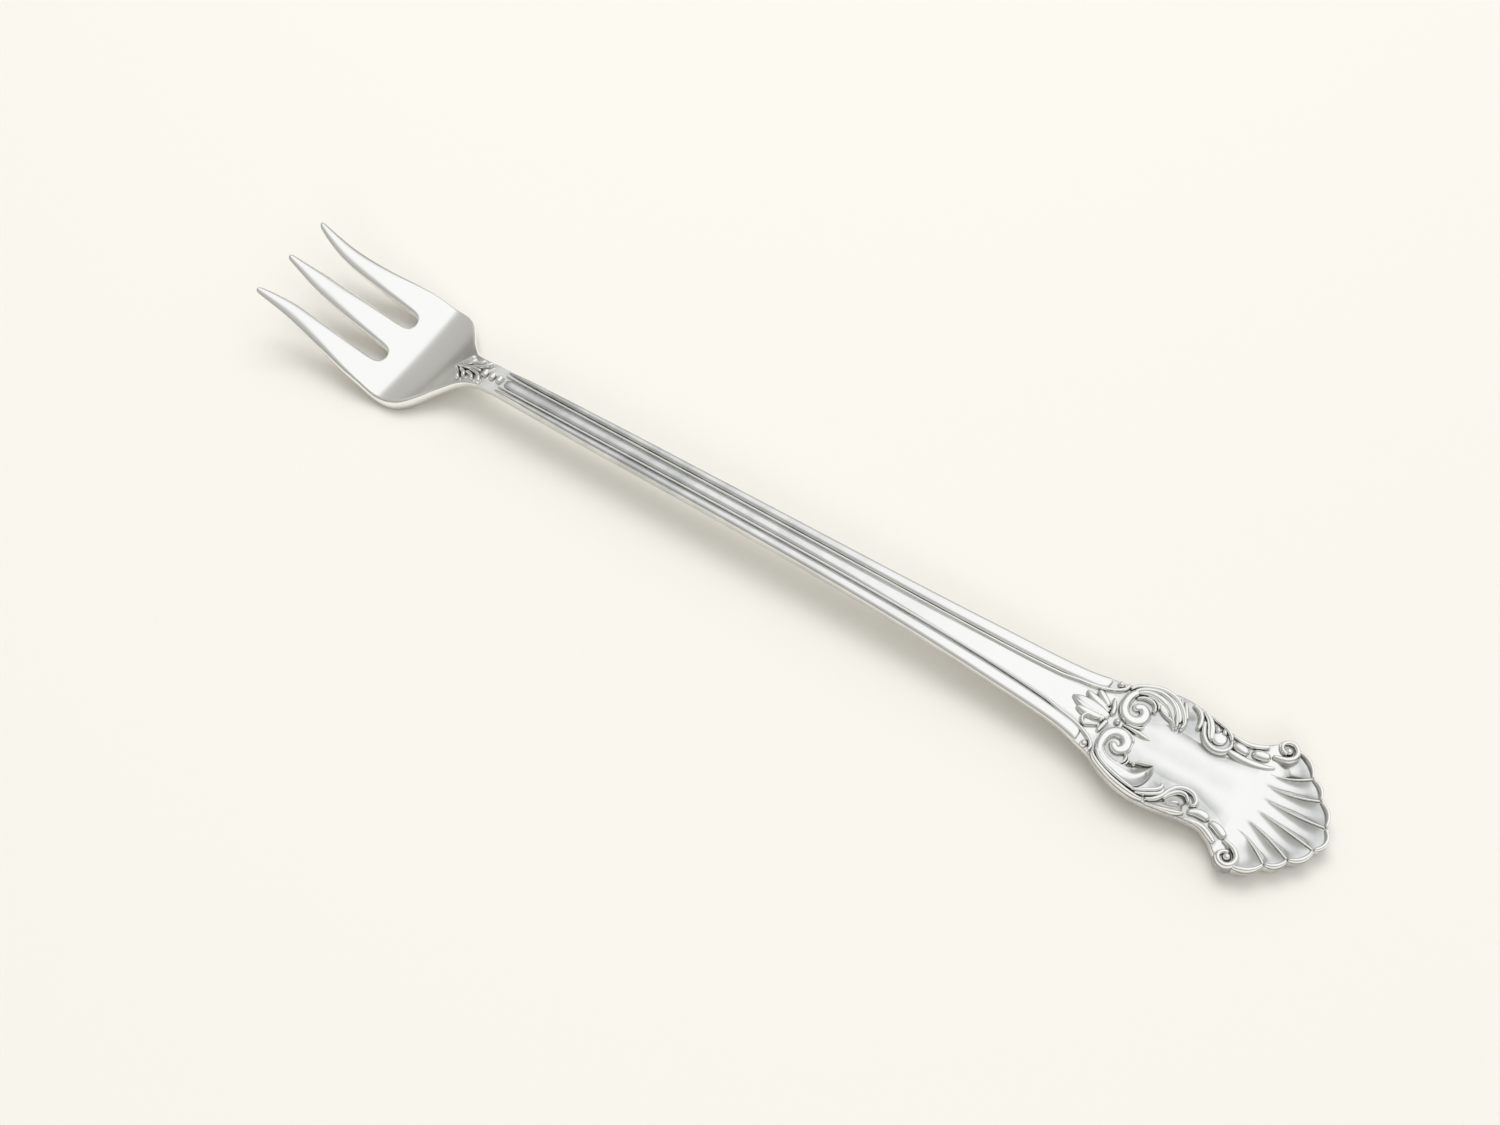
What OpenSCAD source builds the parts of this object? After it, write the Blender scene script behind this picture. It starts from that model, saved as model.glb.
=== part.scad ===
// Three-tined oyster fork with a struck scroll-and-shell handle.
// The real fork is one struck piece, split here where one feature ends and the next begins.
// +X points to the tine tips, +Y is the left side, and the fork rests on the plane Z = 0.

/* [Overall] */
// Length from the tine tips to the end of the shell
overall_l = 148; // [136:1:162]

/* [Head] */
// Length of the tines, from tip to slot root
tine_l = 17; // [15:0.5:20]
// Length of the solid part of the head, from slot root to neck
bowl_l = 10; // [9:0.5:12]
// Width of the head across its heel
head_w = 17.1; // [15.5:0.1:19]
// Width across the tips of the outer tines
tips_w = 13.7; // [12.5:0.1:15]
// Width of the blunt tip of a tine
tip_w = 0.8; // [0.6:0.05:1.2]
// Width of the middle tine at its root
mid_tine_w = 3.9; // [3.2:0.1:4.4]
// Width of each slot between the tines
slot_w = 2.35; // [1.9:0.05:2.7]
// Height of the tips above the table
tip_h = 8.65; // [6:0.05:11]
// Height of the top face at the slot roots
root_h = 3.05; // [2.6:0.05:3.8]
// Thickness of the metal at the tips
tip_t = 0.75; // [0.5:0.05:1]
// Thickness of the metal at the slot roots
root_t = 1.6; // [1.3:0.05:2]
// Thickness of the metal at the heel
heel_t = 1.3; // [1:0.05:1.6]

/* [Neck and stem] */
// Length of the neck
neck_l = 7; // [6:0.5:9]
// Width of the neck where it leaves the head
neck_root_w = 7.4; // [6.4:0.1:8.4]
// Width of the stem at the neck
neck_w = 3.7; // [3.4:0.1:4.3]
// Height of the stem's flat top face at the neck
neck_h = 5.6; // [5:0.1:6.6]
// Width of the stem at the middle of the fork
stem_w = 4.7; // [4.2:0.1:5.4]
// Depth of the stem below its flat top face
stem_t = 2.3; // [1.8:0.05:2.8]
// Height of the two round reeds along the stem
reed_h = 0.45; // [0.3:0.05:0.7]
// Width of the thin fillet between a reed and the centre band
fillet_w = 0.26; // [0.16:0.02:0.34]
// Height of the thin fillet
fillet_h = 0.28; // [0.15:0.01:0.4]
// Width of the centre band at the neck
band_w = 1.3; // [1:0.1:1.5]
// Height of the centre band
band_h = 0.34; // [0.2:0.02:0.5]
// Height of the leaf and beads on the neck
leaf_h = 0.5; // [0.3:0.05:0.7]

/* [Handle end] */
// Length of the flare between stem and scrolls
flare_l = 15.4; // [13:0.2:18]
// Width of the handle where the flare begins
flare_w = 6.9; // [6:0.1:7.6]
// Width of the handle where the flare ends
flare_end_w = 10.6; // [10:0.1:11.6]
// Length of the scroll and shell end
terminal_l = 27.6; // [25:0.2:31]
// Width across the scrolls
terminal_w = 14.7; // [13.6:0.1:16]
// Width at the waist between scrolls and shell
waist_w = 12.6; // [12:0.1:13.4]
// Width across the shoulders of the shell
shell_w = 18.2; // [17:0.1:19.5]
// Length of the shell
shell_l = 10.4; // [9.6:0.1:11.4]
// Thickness of the handle end below the ornament
plate_t = 2.1; // [1.7:0.05:2.6]
// Height of the scrolls above the field
relief_h = 0.6; // [0.3:0.05:0.9]
// Slope of the handle end towards the table, in degrees
slope = 3.5; // [2.5:0.1:4.5]

/* [Ornament] */
// Diameter of the two volutes beside the pearl
volute_d = 3.1; // [2.6:0.1:3.4]
// Width of the broad scroll stems
scroll_w = 1.3; // [0.9:0.05:1.5]
// Diameter of the centre pearl
pearl_d = 0.75; // [0.5:0.05:0.9]
// Diameter of the bead that ends each reed
reed_bead_d = 0.95; // [0.7:0.05:1.1]
// Diameter of the small volute at each shoulder of the shell
end_volute_d = 2.8; // [2.2:0.1:3]
// Width of the raised lip of the shell
lip_w = 0.55; // [0.4:0.05:0.8]
// Width of the ridges between the flutes of the shell
ridge_w = 0.3; // [0.2:0.02:0.4]

/* [Hidden] */
$fn = 48;

// Depth by which the two rest faces are flattened
rest_sink = 0.15;
// Overrun of every cutting shape
over = 1;

// Curves through points

// Index of the span of table t that holds u
function span(t, u, i = 0) = (i + 2 >= len(t) || u <= t[i + 1][0]) ? i : span(t, u, i + 1);
// Slope of table t at its point i
function slope_at(t, i) =
    let(a = max(i - 1, 0), b = min(i + 1, len(t) - 1))
    (t[b][1] - t[a][1]) / (t[b][0] - t[a][0]);
// Height of a smooth curve through table t at u
function curve(t, u) =
    let(i = span(t, u), h = t[i + 1][0] - t[i][0], s = (u - t[i][0]) / h, q = s * s, c = q * s)
    (2 * c - 3 * q + 1) * t[i][1] + (c - 2 * q + s) * h * slope_at(t, i)
    + (3 * q - 2 * c) * t[i + 1][1] + (c - q) * h * slope_at(t, i + 1);
// Point at t between b and c on a smooth line through a, b, c and d
function between(a, b, c, d, t) =
    (2 * b + (c - a) * t + (2 * a - 5 * b + 4 * c - d) * t * t
    + (3 * b - a - 3 * c + d) * t * t * t) / 2;
// Smooth line through the points p, with n steps to each span
function line_through(p, n) = concat(
    [for (i = [0 : len(p) - 2]) for (k = [0 : n - 1])
        between(p[max(i - 1, 0)], p[i], p[i + 1], p[min(i + 2, len(p) - 1)], k / n)],
    [p[len(p) - 1]]);
// Points scaled from shares: length, half width and stroke width
function sized(shares, l, w, stroke) = [for (s = shares) [s[0] * l, s[1] * w, s[2] * stroke]];
// One edge of a ribbon whose points hold x, y and width
function ribbon_edge(p, i, side) =
    let(a = p[max(i - 1, 0)], b = p[min(i + 1, len(p) - 1)],
        d = [b[0] - a[0], b[1] - a[1]], n = [-d[1], d[0]] / norm(d))
    [p[i][0] + side * n[0] * p[i][2] / 2, p[i][1] + side * n[1] * p[i][2] / 2];
// Points of a spiral from angle a0 to a1 and radius r0 to r1, w0 to w1 wide
function spiral(c, r0, r1, a0, a1, w0, w1, n) =
    [for (k = [0 : n]) let(s = k / n, a = a0 + (a1 - a0) * s, r = r0 + (r1 - r0) * s)
        [c[0] + r * cos(a), c[1] + r * sin(a), w0 + (w1 - w0) * s]];
// Ellipse about c with half length a and half width b, turned by t
function oval(c, a, b, t) =
    [for (k = [0 : 19]) let(p = 18 * k, x = a * cos(p), y = b * sin(p))
        [c[0] + x * cos(t) - y * sin(t), c[1] + x * sin(t) + y * cos(t)]];

// Flat stroke of changing width along a smooth line
module ribbon(p) {
    last = len(p) - 1;
    polygon(concat([for (i = [0 : last]) ribbon_edge(p, i, 1)],
        [for (i = [last : -1 : 0]) ribbon_edge(p, i, -1)]));
}

// Solid through rings of points, each ring a flat convex outline
module loft(rings) {
    n = len(rings[0]);
    m = len(rings);
    sides = [for (r = [0 : m - 2]) for (k = [0 : n - 1])
        let(a = r * n + k, b = r * n + (k + 1) % n) each [[a, b, b + n], [a, b + n, a + n]]];
    first = [for (k = [n - 1 : -1 : 0]) k];
    final = [for (k = [0 : n - 1]) (m - 1) * n + k];
    polyhedron(points = [for (r = rings) each r], faces = concat(sides, [first, final]));
}

// The head: profiles measured back from the tine tips

tip_x = overall_l / 2;
head_l = tine_l + bowl_l + neck_l;
neck_x = tip_x - head_l;
slot_y = (mid_tine_w + slot_w) / 2;
split_d = tine_l - slot_w / 2;
spread = (head_w - tips_w) / 2;
tip_rise = tip_h - root_h;
heel_drop = root_h - heel_t;
neck_rise = neck_h - heel_t;
root_inner = slot_y + slot_w / 2;
tip_inner = tips_w / 2 - tip_w;
bowl_end_d = tine_l + bowl_l;

// Half width of the head and neck
edge_line = [
    [0, tips_w / 2],
    [tine_l * 0.29, tips_w / 2 - spread * 0.03],
    [tine_l * 0.59, tips_w / 2 + spread * 0.35],
    [tine_l * 0.82, tips_w / 2 + spread * 0.74],
    [tine_l, tips_w / 2 + spread * 0.93],
    [tine_l + bowl_l * 0.25, head_w / 2],
    [tine_l + bowl_l * 0.45, head_w / 2 * 0.98],
    [tine_l + bowl_l * 0.62, head_w / 2 * 0.895],
    [tine_l + bowl_l * 0.78, head_w / 2 * 0.71],
    [tine_l + bowl_l * 0.9, head_w / 2 * 0.545],
    [bowl_end_d, neck_root_w / 2],
    [bowl_end_d + neck_l * 0.15, neck_w / 2 + (neck_root_w - neck_w) / 2 * 0.55],
    [bowl_end_d + neck_l * 0.35, neck_w / 2 + (neck_root_w - neck_w) / 2 * 0.24],
    [bowl_end_d + neck_l * 0.6, neck_w / 2 + (neck_root_w - neck_w) / 2 * 0.06],
    [head_l, neck_w / 2]];
// Height of the top face
top_line = [
    [0, tip_h],
    [tine_l * 0.235, root_h + tip_rise * 0.715],
    [tine_l * 0.47, root_h + tip_rise * 0.44],
    [tine_l * 0.7, root_h + tip_rise * 0.205],
    [tine_l, root_h],
    [tine_l + bowl_l * 0.22, heel_t + heel_drop * 0.42],
    [tine_l + bowl_l * 0.36, heel_t + heel_drop * 0.1],
    [tine_l + bowl_l * 0.5, heel_t],
    [tine_l + bowl_l * 0.65, heel_t + neck_rise * 0.08],
    [tine_l + bowl_l * 0.8, heel_t + neck_rise * 0.256],
    [bowl_end_d, heel_t + neck_rise * 0.51],
    [bowl_end_d + neck_l * 0.3, heel_t + neck_rise * 0.78],
    [bowl_end_d + neck_l * 0.6, heel_t + neck_rise * 0.94],
    [head_l, neck_h]];
// Thickness below the top face
thick_line = [
    [0, tip_t],
    [tine_l * 0.235, tip_t + (root_t - tip_t) * 0.55],
    [tine_l * 0.5, tip_t + (root_t - tip_t) * 0.85],
    [tine_l, root_t],
    [tine_l + bowl_l * 0.36, heel_t + rest_sink],
    [tine_l + bowl_l * 0.5, heel_t + rest_sink],
    [bowl_end_d, heel_t + (stem_t - heel_t) * 0.6],
    [head_l, stem_t]];
// Inner edge of an outer tine, as a share of the way from root to tip position
inner_shares = [[0, 1], [0.12, 0.57], [0.28, 0.17], [0.45, 0.03], [0.7, 0], [1, 0]];
// Half width of the middle tine, as a share of its growth from tip to root
middle_shares = [[0, 0], [0.12, 0.23], [0.29, 0.55], [0.47, 0.73], [0.65, 0.87], [1, 1]];
// Squareness of a tine's section, from round tip to square root
square_shares = [[0, 2], [0.4, 2.6], [1, 6]];

tine_rings = 16;
ring_points = 16;

function top_z(d) = curve(top_line, d);
function low_z(d) = max(0, top_z(d) - curve(thick_line, d));
function inner_y(d) = root_inner + (tip_inner - root_inner) * curve(inner_shares, d / tine_l);
function middle_y(d) = (tip_w + (mid_tine_w - tip_w) * curve(middle_shares, d / tine_l)) / 2;
// Point of a squared ellipse, n square, in the direction a
function squared(v, n) = sign(v) * pow(abs(v), 2 / n);
function tine_ring(d, y0, y1) =
    let(n = curve(square_shares, d / split_d), zc = (top_z(d) + low_z(d)) / 2)
    [for (k = [0 : ring_points - 1]) let(a = 360 * (k + 0.5) / ring_points)
        [tip_x - d, (y0 + y1) / 2 + (y1 - y0) / 2 * squared(cos(a), n),
            zc + (top_z(d) - low_z(d)) / 2 * squared(sin(a), n)]];
// Distances from the tip, closer together near it
tine_steps = [for (k = [0 : tine_rings]) split_d * pow(k / tine_rings, 1.3)];

function outer_tine_rings() =
    [for (d = tine_steps) tine_ring(d, inner_y(d), curve(edge_line, d))];
// The same rings on the other side of the fork
function mirrored(rings) =
    [for (i = [len(rings) - 1 : -1 : 0]) [for (p = rings[i]) [p[0], -p[1], p[2]]]];

module left_tine() {
    color("silver") loft(outer_tine_rings());
}

module right_tine() {
    color("silver") loft(mirrored(outer_tine_rings()));
}

module middle_tine() {
    color("silver")
        loft([for (d = tine_steps) tine_ring(d, -middle_y(d), middle_y(d))]);
}

// Plan of the head between two distances from the tips
module head_plan(d0, d1, steps) {
    ds = [for (k = [0 : steps]) d0 + (d1 - d0) * k / steps];
    polygon(concat([for (d = ds) [tip_x - d, curve(edge_line, d)]],
        [for (i = [steps : -1 : 0]) [tip_x - ds[i], -curve(edge_line, ds[i])]]));
}

// Block of the head's width between a lower and an upper line of the side view
module side_band(low, high) {
    translate([0, head_w, 0]) rotate([90, 0, 0]) linear_extrude(2 * head_w)
        polygon(concat(low, [for (i = [len(high) - 1 : -1 : 0]) high[i]]));
}

bowl_steps = 20;
neck_steps = 10;
function side_points(d0, d1, steps, raise) =
    [for (k = [0 : steps]) let(d = d0 + (d1 - d0) * k / steps) [tip_x - d, top_z(d) + raise]];
function low_points(d0, d1, steps) =
    [for (k = [0 : steps]) let(d = d0 + (d1 - d0) * k / steps) [tip_x - d, low_z(d)]];

module bowl() {
    color("silver") difference() {
        intersection() {
            linear_extrude(tip_h) head_plan(split_d, bowl_end_d, bowl_steps);
            side_band(low_points(split_d, bowl_end_d, bowl_steps),
                side_points(split_d, bowl_end_d, bowl_steps, 0));
        }
        for (s = [-1, 1])
            translate([tip_x - split_d, s * slot_y, -over]) cylinder(d = slot_w, h = tip_h + over);
    }
}

module neck() {
    color("silver") intersection() {
        linear_extrude(tip_h) head_plan(bowl_end_d, head_l, neck_steps);
        side_band(low_points(bowl_end_d, head_l, neck_steps),
            side_points(bowl_end_d, head_l, neck_steps, 0));
    }
}

// Ornament of a flat outline that follows the top of the neck
module on_neck(h) {
    intersection() {
        linear_extrude(tip_h + h) children();
        side_band(side_points(bowl_end_d, head_l, neck_steps, 0),
            side_points(bowl_end_d, head_l, neck_steps, h));
    }
}

// Half outline of the leaf: share of the neck's length from the head, share of its half width
neck_leaf_shares = [[0.02, 0.04], [0.1, 0.16], [0.17, 0.5], [0.1, 0.64], [0.14, 0.84], [0.26, 0.78],
    [0.33, 0.54], [0.4, 0.62], [0.36, 0.9], [0.46, 1], [0.55, 0.82], [0.54, 0.5], [0.6, 0.24],
    [0.61, 0.04]];
neck_leaf_w = neck_w * 1.12;
neck_bead_shares = [0.69, 0.82, 0.94];
neck_bead_l = neck_l * 0.115;

module neck_leaf() {
    half = [for (s = neck_leaf_shares)
        [neck_x + neck_l * (1 - s[0]), neck_leaf_w / 2 * s[1]]];
    color("gainsboro") on_neck(leaf_h)
        polygon(concat(half, [for (i = [len(half) - 1 : -1 : 0]) [half[i][0], -half[i][1]]]));
}

module neck_beads() {
    color("gainsboro") on_neck(leaf_h) for (s = neck_bead_shares)
        polygon(oval([neck_x + neck_l * (1 - s), 0], neck_bead_l / 2, band_w / 2, 0));
}

// The handle: places measured along it from the end of the shell

end_x = -overall_l / 2;
end_h = plate_t * cos(slope) - rest_sink;
handle_l = flare_l + terminal_l;
flare_x = end_x + handle_l * cos(slope);
flare_h = end_h + handle_l * sin(slope);
stem_l = neck_x - flare_x;
stem_end_u = handle_l + stem_l;

function stem_z(s) =
    let(q = s * s, c = q * s)
    (2 * c - 3 * q + 1) * neck_h + (3 * q - 2 * c) * flare_h + (q - c) * tan(slope) * stem_l;
function stem_tilt(s) =
    let(q = s * s)
    atan((6 * (s - q) * (neck_h - flare_h) + (3 * q - 2 * s) * tan(slope) * stem_l) / stem_l);
// Point at u along the handle, y to the left and w above the flat top face
function place(u, y, w) =
    let(s = (stem_end_u - u) / stem_l,
        on_end = u <= handle_l,
        t = on_end ? slope : stem_tilt(s),
        x = on_end ? end_x + u * cos(slope) : neck_x - s * stem_l,
        z = on_end ? end_h + u * sin(slope) : stem_z(s))
    [x - w * sin(t), y, z + w * cos(t)];

stem_steps = 20;
flare_steps = 10;
stem_us = [for (k = [0 : stem_steps]) handle_l + stem_l * k / stem_steps];
flare_us = [for (k = [0 : flare_steps]) terminal_l + flare_l * k / flare_steps];
handle_us = concat([for (k = [0 : flare_steps - 1]) flare_us[k]], stem_us);

// Half width of the stem and flare
stem_line = [
    [terminal_l, flare_end_w / 2],
    [terminal_l + flare_l * 0.06, flare_w / 2 + (flare_end_w - flare_w) / 2 * 0.86],
    [terminal_l + flare_l * 0.35, flare_w / 2 + (flare_end_w - flare_w) / 2 * 0.36],
    [handle_l, flare_w / 2],
    [handle_l + stem_l * 0.14, stem_w / 2 + (flare_w - stem_w) / 2 * 0.55],
    [handle_l + stem_l * 0.3, stem_w / 2 + (flare_w - stem_w) / 2 * 0.25],
    [handle_l + stem_l * 0.55, stem_w / 2],
    [handle_l + stem_l * 0.8, neck_w / 2 + (stem_w - neck_w) / 2 * 0.6],
    [stem_end_u, neck_w / 2]];
function half_w(u) = curve(stem_line, u);
function depth(u) = u <= handle_l ? plate_t : plate_t + (stem_t - plate_t) * (u - handle_l) / stem_l;

belly_points = 12;
belly_square = 2.7;
// Section of the stem: flat on top, a full round belly below
function stem_ring(u) = [for (k = [0 : belly_points]) let(a = 180 * k / belly_points)
    place(u, half_w(u) * squared(cos(a), belly_square),
        -depth(u) * squared(sin(a), belly_square))];

module stem() {
    color("silver") loft([for (u = stem_us) stem_ring(u)]);
}

module flare() {
    color("silver") loft([for (u = flare_us) stem_ring(u)]);
}

// Centre line of the thin fillet, left side
side_gap = fillet_w * 0.6;
fillet_start = band_w / 2 + side_gap + fillet_w / 2;
fillet_line = [
    [terminal_l + flare_l * 0.09, flare_end_w / 2 * 0.61],
    [terminal_l + flare_l * 0.19, flare_end_w / 2 * 0.475],
    [terminal_l + flare_l * 0.3, flare_end_w / 2 * 0.42],
    [terminal_l + flare_l * 0.6, flare_w / 2 * 0.5],
    [handle_l, flare_w / 2 * 0.4],
    [handle_l + stem_l * 0.15, (flare_w / 2 * 0.36 + fillet_start) / 2],
    [handle_l + stem_l * 0.4, fillet_start],
    [stem_end_u, fillet_start]];
// Inner edge of the round reed along the flare, as a share of the way from fillet to outer edge
reed_shares = [[0.2, 0.88], [0.35, 0.26], [0.6, 0.12], [1, 0]];

round_points = 8;
// Section of a raised strip between y0 and y1, h high in the middle
function strip_ring(u, y0, y1, h) = [for (k = [0 : round_points])
    let(a = 180 - 180 * k / round_points)
    place(u, (y0 + y1) / 2 - (y1 - y0) / 2 * cos(a), h * sin(a))];
function fillet_y(u) = curve(fillet_line, u);
function fillet_rings() = [for (u = handle_us) if (u >= terminal_l + flare_l * 0.09)
    strip_ring(u, fillet_y(u) - fillet_w / 2, fillet_y(u) + fillet_w / 2, fillet_h)];
function reed_in(u) =
    let(inside = fillet_y(u) + fillet_w / 2 + side_gap,
        s = max(0, curve(reed_shares, min((u - terminal_l) / flare_l, 1))))
    inside + (half_w(u) - inside) * s;
function reed_rings() = [for (u = handle_us) if (u >= terminal_l + flare_l * 0.2)
    strip_ring(u, reed_in(u), half_w(u) - side_gap / 2, reed_h)];
// The centre band sinks into the flat panel of the flare over its last stretch
band_fade_share = 0.4;
band_end_share = 0.15;
function band_half(u) = min(fillet_y(u) - fillet_w / 2 - side_gap, band_w);
function band_rings() = [for (u = handle_us) if (u >= handle_l && u < stem_end_u - neck_l / 9)
    strip_ring(u, -band_half(u), band_half(u),
        band_h * max(band_end_share, min(1, (u - handle_l) / (stem_l * band_fade_share))))];

module left_fillet() {
    color("gainsboro") loft(fillet_rings());
}

module right_fillet() {
    color("gainsboro") loft(mirrored(fillet_rings()));
}

module left_reed() {
    color("silver") loft(reed_rings());
}

module right_reed() {
    color("silver") loft(mirrored(reed_rings()));
}

module centre_band() {
    color("silver") loft(band_rings());
}

// Frame of the handle end: x along it from the end of the shell, z above its flat top face
module on_handle() {
    translate([end_x, 0, end_h]) rotate([0, -slope, 0]) children();
}

// Raised flat ornament on the handle end
module raised(h) {
    on_handle() linear_extrude(h) children();
}

// Round bead on a short neck, with a flat seat
module bead(d, h) {
    rotate_extrude() intersection() {
        union() {
            translate([0, h - d / 2]) circle(d = d);
            square([d / 2, h - d / 2]);
        }
        square([d, h]);
    }
}

// Bead that ends a reed, in the hook of the fillet
reed_bead_at = [terminal_l + flare_l * 0.06, flare_end_w / 2 * 0.8];
hook_r = reed_bead_d * 0.72;

module reed_bead(side) {
    raised(fillet_h)
        ribbon(spiral([reed_bead_at[0], side * reed_bead_at[1]], hook_r, hook_r,
            side * -75, side * -230, fillet_w, fillet_w, 14));
    on_handle() translate([reed_bead_at[0], side * reed_bead_at[1], 0])
        cylinder(d = reed_bead_d * 0.9, h = reed_h);
}

module left_reed_bead() {
    color("gainsboro") reed_bead(1);
}

module right_reed_bead() {
    color("gainsboro") reed_bead(-1);
}

// Half outline of the palmette: shares of its length and of the flare's half width
palmette_l = flare_l * 0.325;
palmette_shares = [[1, 0], [0.9, 0.07], [0.84, 0.2], [0.74, 0.21], [0.66, 0.16], [0.62, 0.36],
    [0.52, 0.38], [0.42, 0.26], [0.3, 0.29], [0.2, 0.5], [0.08, 0.53], [0.03, 0.4], [0.02, 0.06],
    [0.02, 0]];

module palmette() {
    half = [for (s = palmette_shares)
        [terminal_l + palmette_l * s[0], flare_end_w / 2 * s[1]]];
    color("gainsboro") raised(relief_h)
        polygon(concat(half, [for (i = [len(half) - 2 : -1 : 1]) [half[i][0], -half[i][1]]]));
}

// Scroll work of the handle end. Shares are of terminal_l, of half terminal_w and of scroll_w

pearl_u = terminal_l * 0.9655;
volute_at = [terminal_l * 0.935, terminal_w / 2 * 0.313];
volute_turns_deg = 500;

module volute_flat(side) {
    r = volute_d / 2;
    w = r * 0.34;
    ribbon(spiral([volute_at[0], side * volute_at[1]], r - w / 2, r * 0.2, side * 20,
        side * (20 - volute_turns_deg), w, w * 0.6, 36));
}

module pearl() {
    color("gainsboro") on_handle() translate([pearl_u, 0, 0]) bead(pearl_d, relief_h);
}

plume_shares = [[0.95, 0, 0.12], [0.91, 0, 0.5], [0.86, 0, 0.46], [0.815, 0, 0.12]];
plume_side_shares = [[0.945, 0.02, 0.12], [0.905, 0.07, 0.2], [0.88, 0.1, 0.22], [0.866, 0.16, 0.3]];

module plume() {
    color("gainsboro") raised(relief_h * 0.8) difference() {
        union() {
            ribbon(line_through(sized(plume_shares, terminal_l, terminal_w / 2, scroll_w), 5));
            for (s = [-1, 1])
                ribbon(line_through([for (p = sized(plume_side_shares, terminal_l, terminal_w / 2,
                    scroll_w)) [p[0], s * p[1], p[2]]], 4));
        }
        translate([pearl_u, 0]) circle(d = pearl_d);
        for (s = [-1, 1])
            translate([volute_at[0], s * volute_at[1]]) circle(d = volute_d);
    }
}

module left_volute() {
    color("silver") raised(relief_h) volute_flat(1);
}

module right_volute() {
    color("silver") raised(relief_h) volute_flat(-1);
}

// Outline of the handle end, half, from the flare to the end of the shell
body_line = [
    [shell_l, shell_w / 2 * 0.87],
    [terminal_l * 0.417, waist_w / 2 * 1.11],
    [terminal_l * 0.475, waist_w / 2],
    [terminal_l * 0.543, waist_w / 2 * 1.015],
    [terminal_l * 0.634, terminal_w / 2 * 0.94],
    [terminal_l * 0.76, terminal_w / 2],
    [terminal_l * 0.86, terminal_w / 2 * 0.945],
    [terminal_l * 0.945, terminal_w / 2 * 0.83],
    [terminal_l, flare_end_w / 2]];
body_steps = 22;
body_us = [for (k = [0 : body_steps]) shell_l + (terminal_l - shell_l) * k / body_steps];

module body_flat() {
    polygon(concat([for (u = body_us) [u, curve(body_line, u)]],
        [for (i = [body_steps : -1 : 0]) [body_us[i], -curve(body_line, body_us[i])]]));
}

// Valleys of the scalloped shell edge, as shares of shell_l and of half shell_w
valley_shares = [[0.79, 0.95], [0.46, 0.7], [0.27, 0.48], [0.085, 0.18]];
scallop_steps = 6;
scallop_share = 0.18;
valleys = concat(
    [for (s = valley_shares) [shell_l * s[0], shell_w / 2 * s[1]]],
    [for (i = [len(valley_shares) - 1 : -1 : 0])
        [shell_l * valley_shares[i][0], -shell_w / 2 * valley_shares[i][1]]]);
// Points of the edge from valley p to valley q, which swells by the given share of its span
function scallop(p, q, share) =
    let(d = q - p, n = [d[1], -d[0]] * share)
    [for (k = [0 : scallop_steps - 1]) let(s = k / scallop_steps)
        p + d * s + n * 4 * s * (1 - s)];
// The middle scallop swells to the very end of the fork
last_valley = valleys[len(valley_shares) - 1];
end_share = last_valley[0] / (2 * last_valley[1]);
function swell_share(i) = i == len(valley_shares) - 1 ? end_share : scallop_share;
shell_edge = concat(
    [for (i = [0 : len(valleys) - 2]) each scallop(valleys[i], valleys[i + 1], swell_share(i))],
    [valleys[len(valleys) - 1]]);
shell_join = [shell_l, shell_w / 2 * 0.87];
function inward(p) = let(c = [shell_l, 0], d = c - p) p + d / norm(d) * lip_w;

module shell_flat() {
    polygon(concat([shell_join], [[shell_l * 0.9, shell_w / 2 * 0.985]], shell_edge,
        [[shell_l * 0.9, -shell_w / 2 * 0.985]], [[shell_join[0], -shell_join[1]]]));
}

// Everything above the table
module above_table() {
    translate([end_x - over, -shell_w, 0]) cube([overall_l, 2 * shell_w, tip_h]);
}

module cartouche() {
    color("silver") on_handle() translate([0, 0, -plate_t]) linear_extrude(plate_t) body_flat();
}

// Flutes scooped out of the shell: foot, crest and half width at each, as shares
flute_shares = [[[0.62, 0], [0.07, 0], 0.035, 0.13], [[0.68, 0.17], [0.17, 0.33], 0.04, 0.13],
    [[0.75, 0.345], [0.35, 0.585], 0.035, 0.11], [[0.79, 0.52], [0.62, 0.8], 0.035, 0.12]];
flute_depth = plate_t * 0.14;
// Radius of the round that is w wide each way and d deep
function scoop_r(w, d) = (w * w + d * d) / (2 * d);

// One round flute, deepest at its crest
module flute(share, side) {
    foot = [shell_l * share[0][0], side * shell_w / 2 * share[0][1]];
    crest = [shell_l * share[1][0], side * shell_w / 2 * share[1][1]];
    run = crest - foot;
    foot_r = scoop_r(shell_w * share[2] / 2, flute_depth / 4);
    crest_r = scoop_r(shell_w * share[3] / 2, flute_depth);
    foot_z = foot_r - flute_depth / 4;
    crest_z = crest_r - flute_depth;
    length = norm([run[0], run[1], crest_z - foot_z]);
    translate([foot[0], foot[1], foot_z])
        rotate([0, 90 - atan2(crest_z - foot_z, norm(run)), atan2(run[1], run[0])])
            cylinder(r1 = foot_r, r2 = crest_r, h = length);
}

module shell() {
    color("silver") intersection() {
        on_handle() difference() {
            translate([0, 0, -plate_t]) linear_extrude(plate_t) shell_flat();
            flute(flute_shares[0], 1);
            for (s = [-1, 1]) for (i = [1 : 3])
                flute(flute_shares[i], s);
        }
        above_table();
    }
}

module shell_lip() {
    color("gainsboro") raised(relief_h * 0.7) shell_lip_flat();
}

// Foot of each ridge of the shell, as shares of shell_l and of half shell_w
ridge_shares = [[0.77, 0.43], [0.72, 0.26], [0.61, 0.077]];

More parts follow.
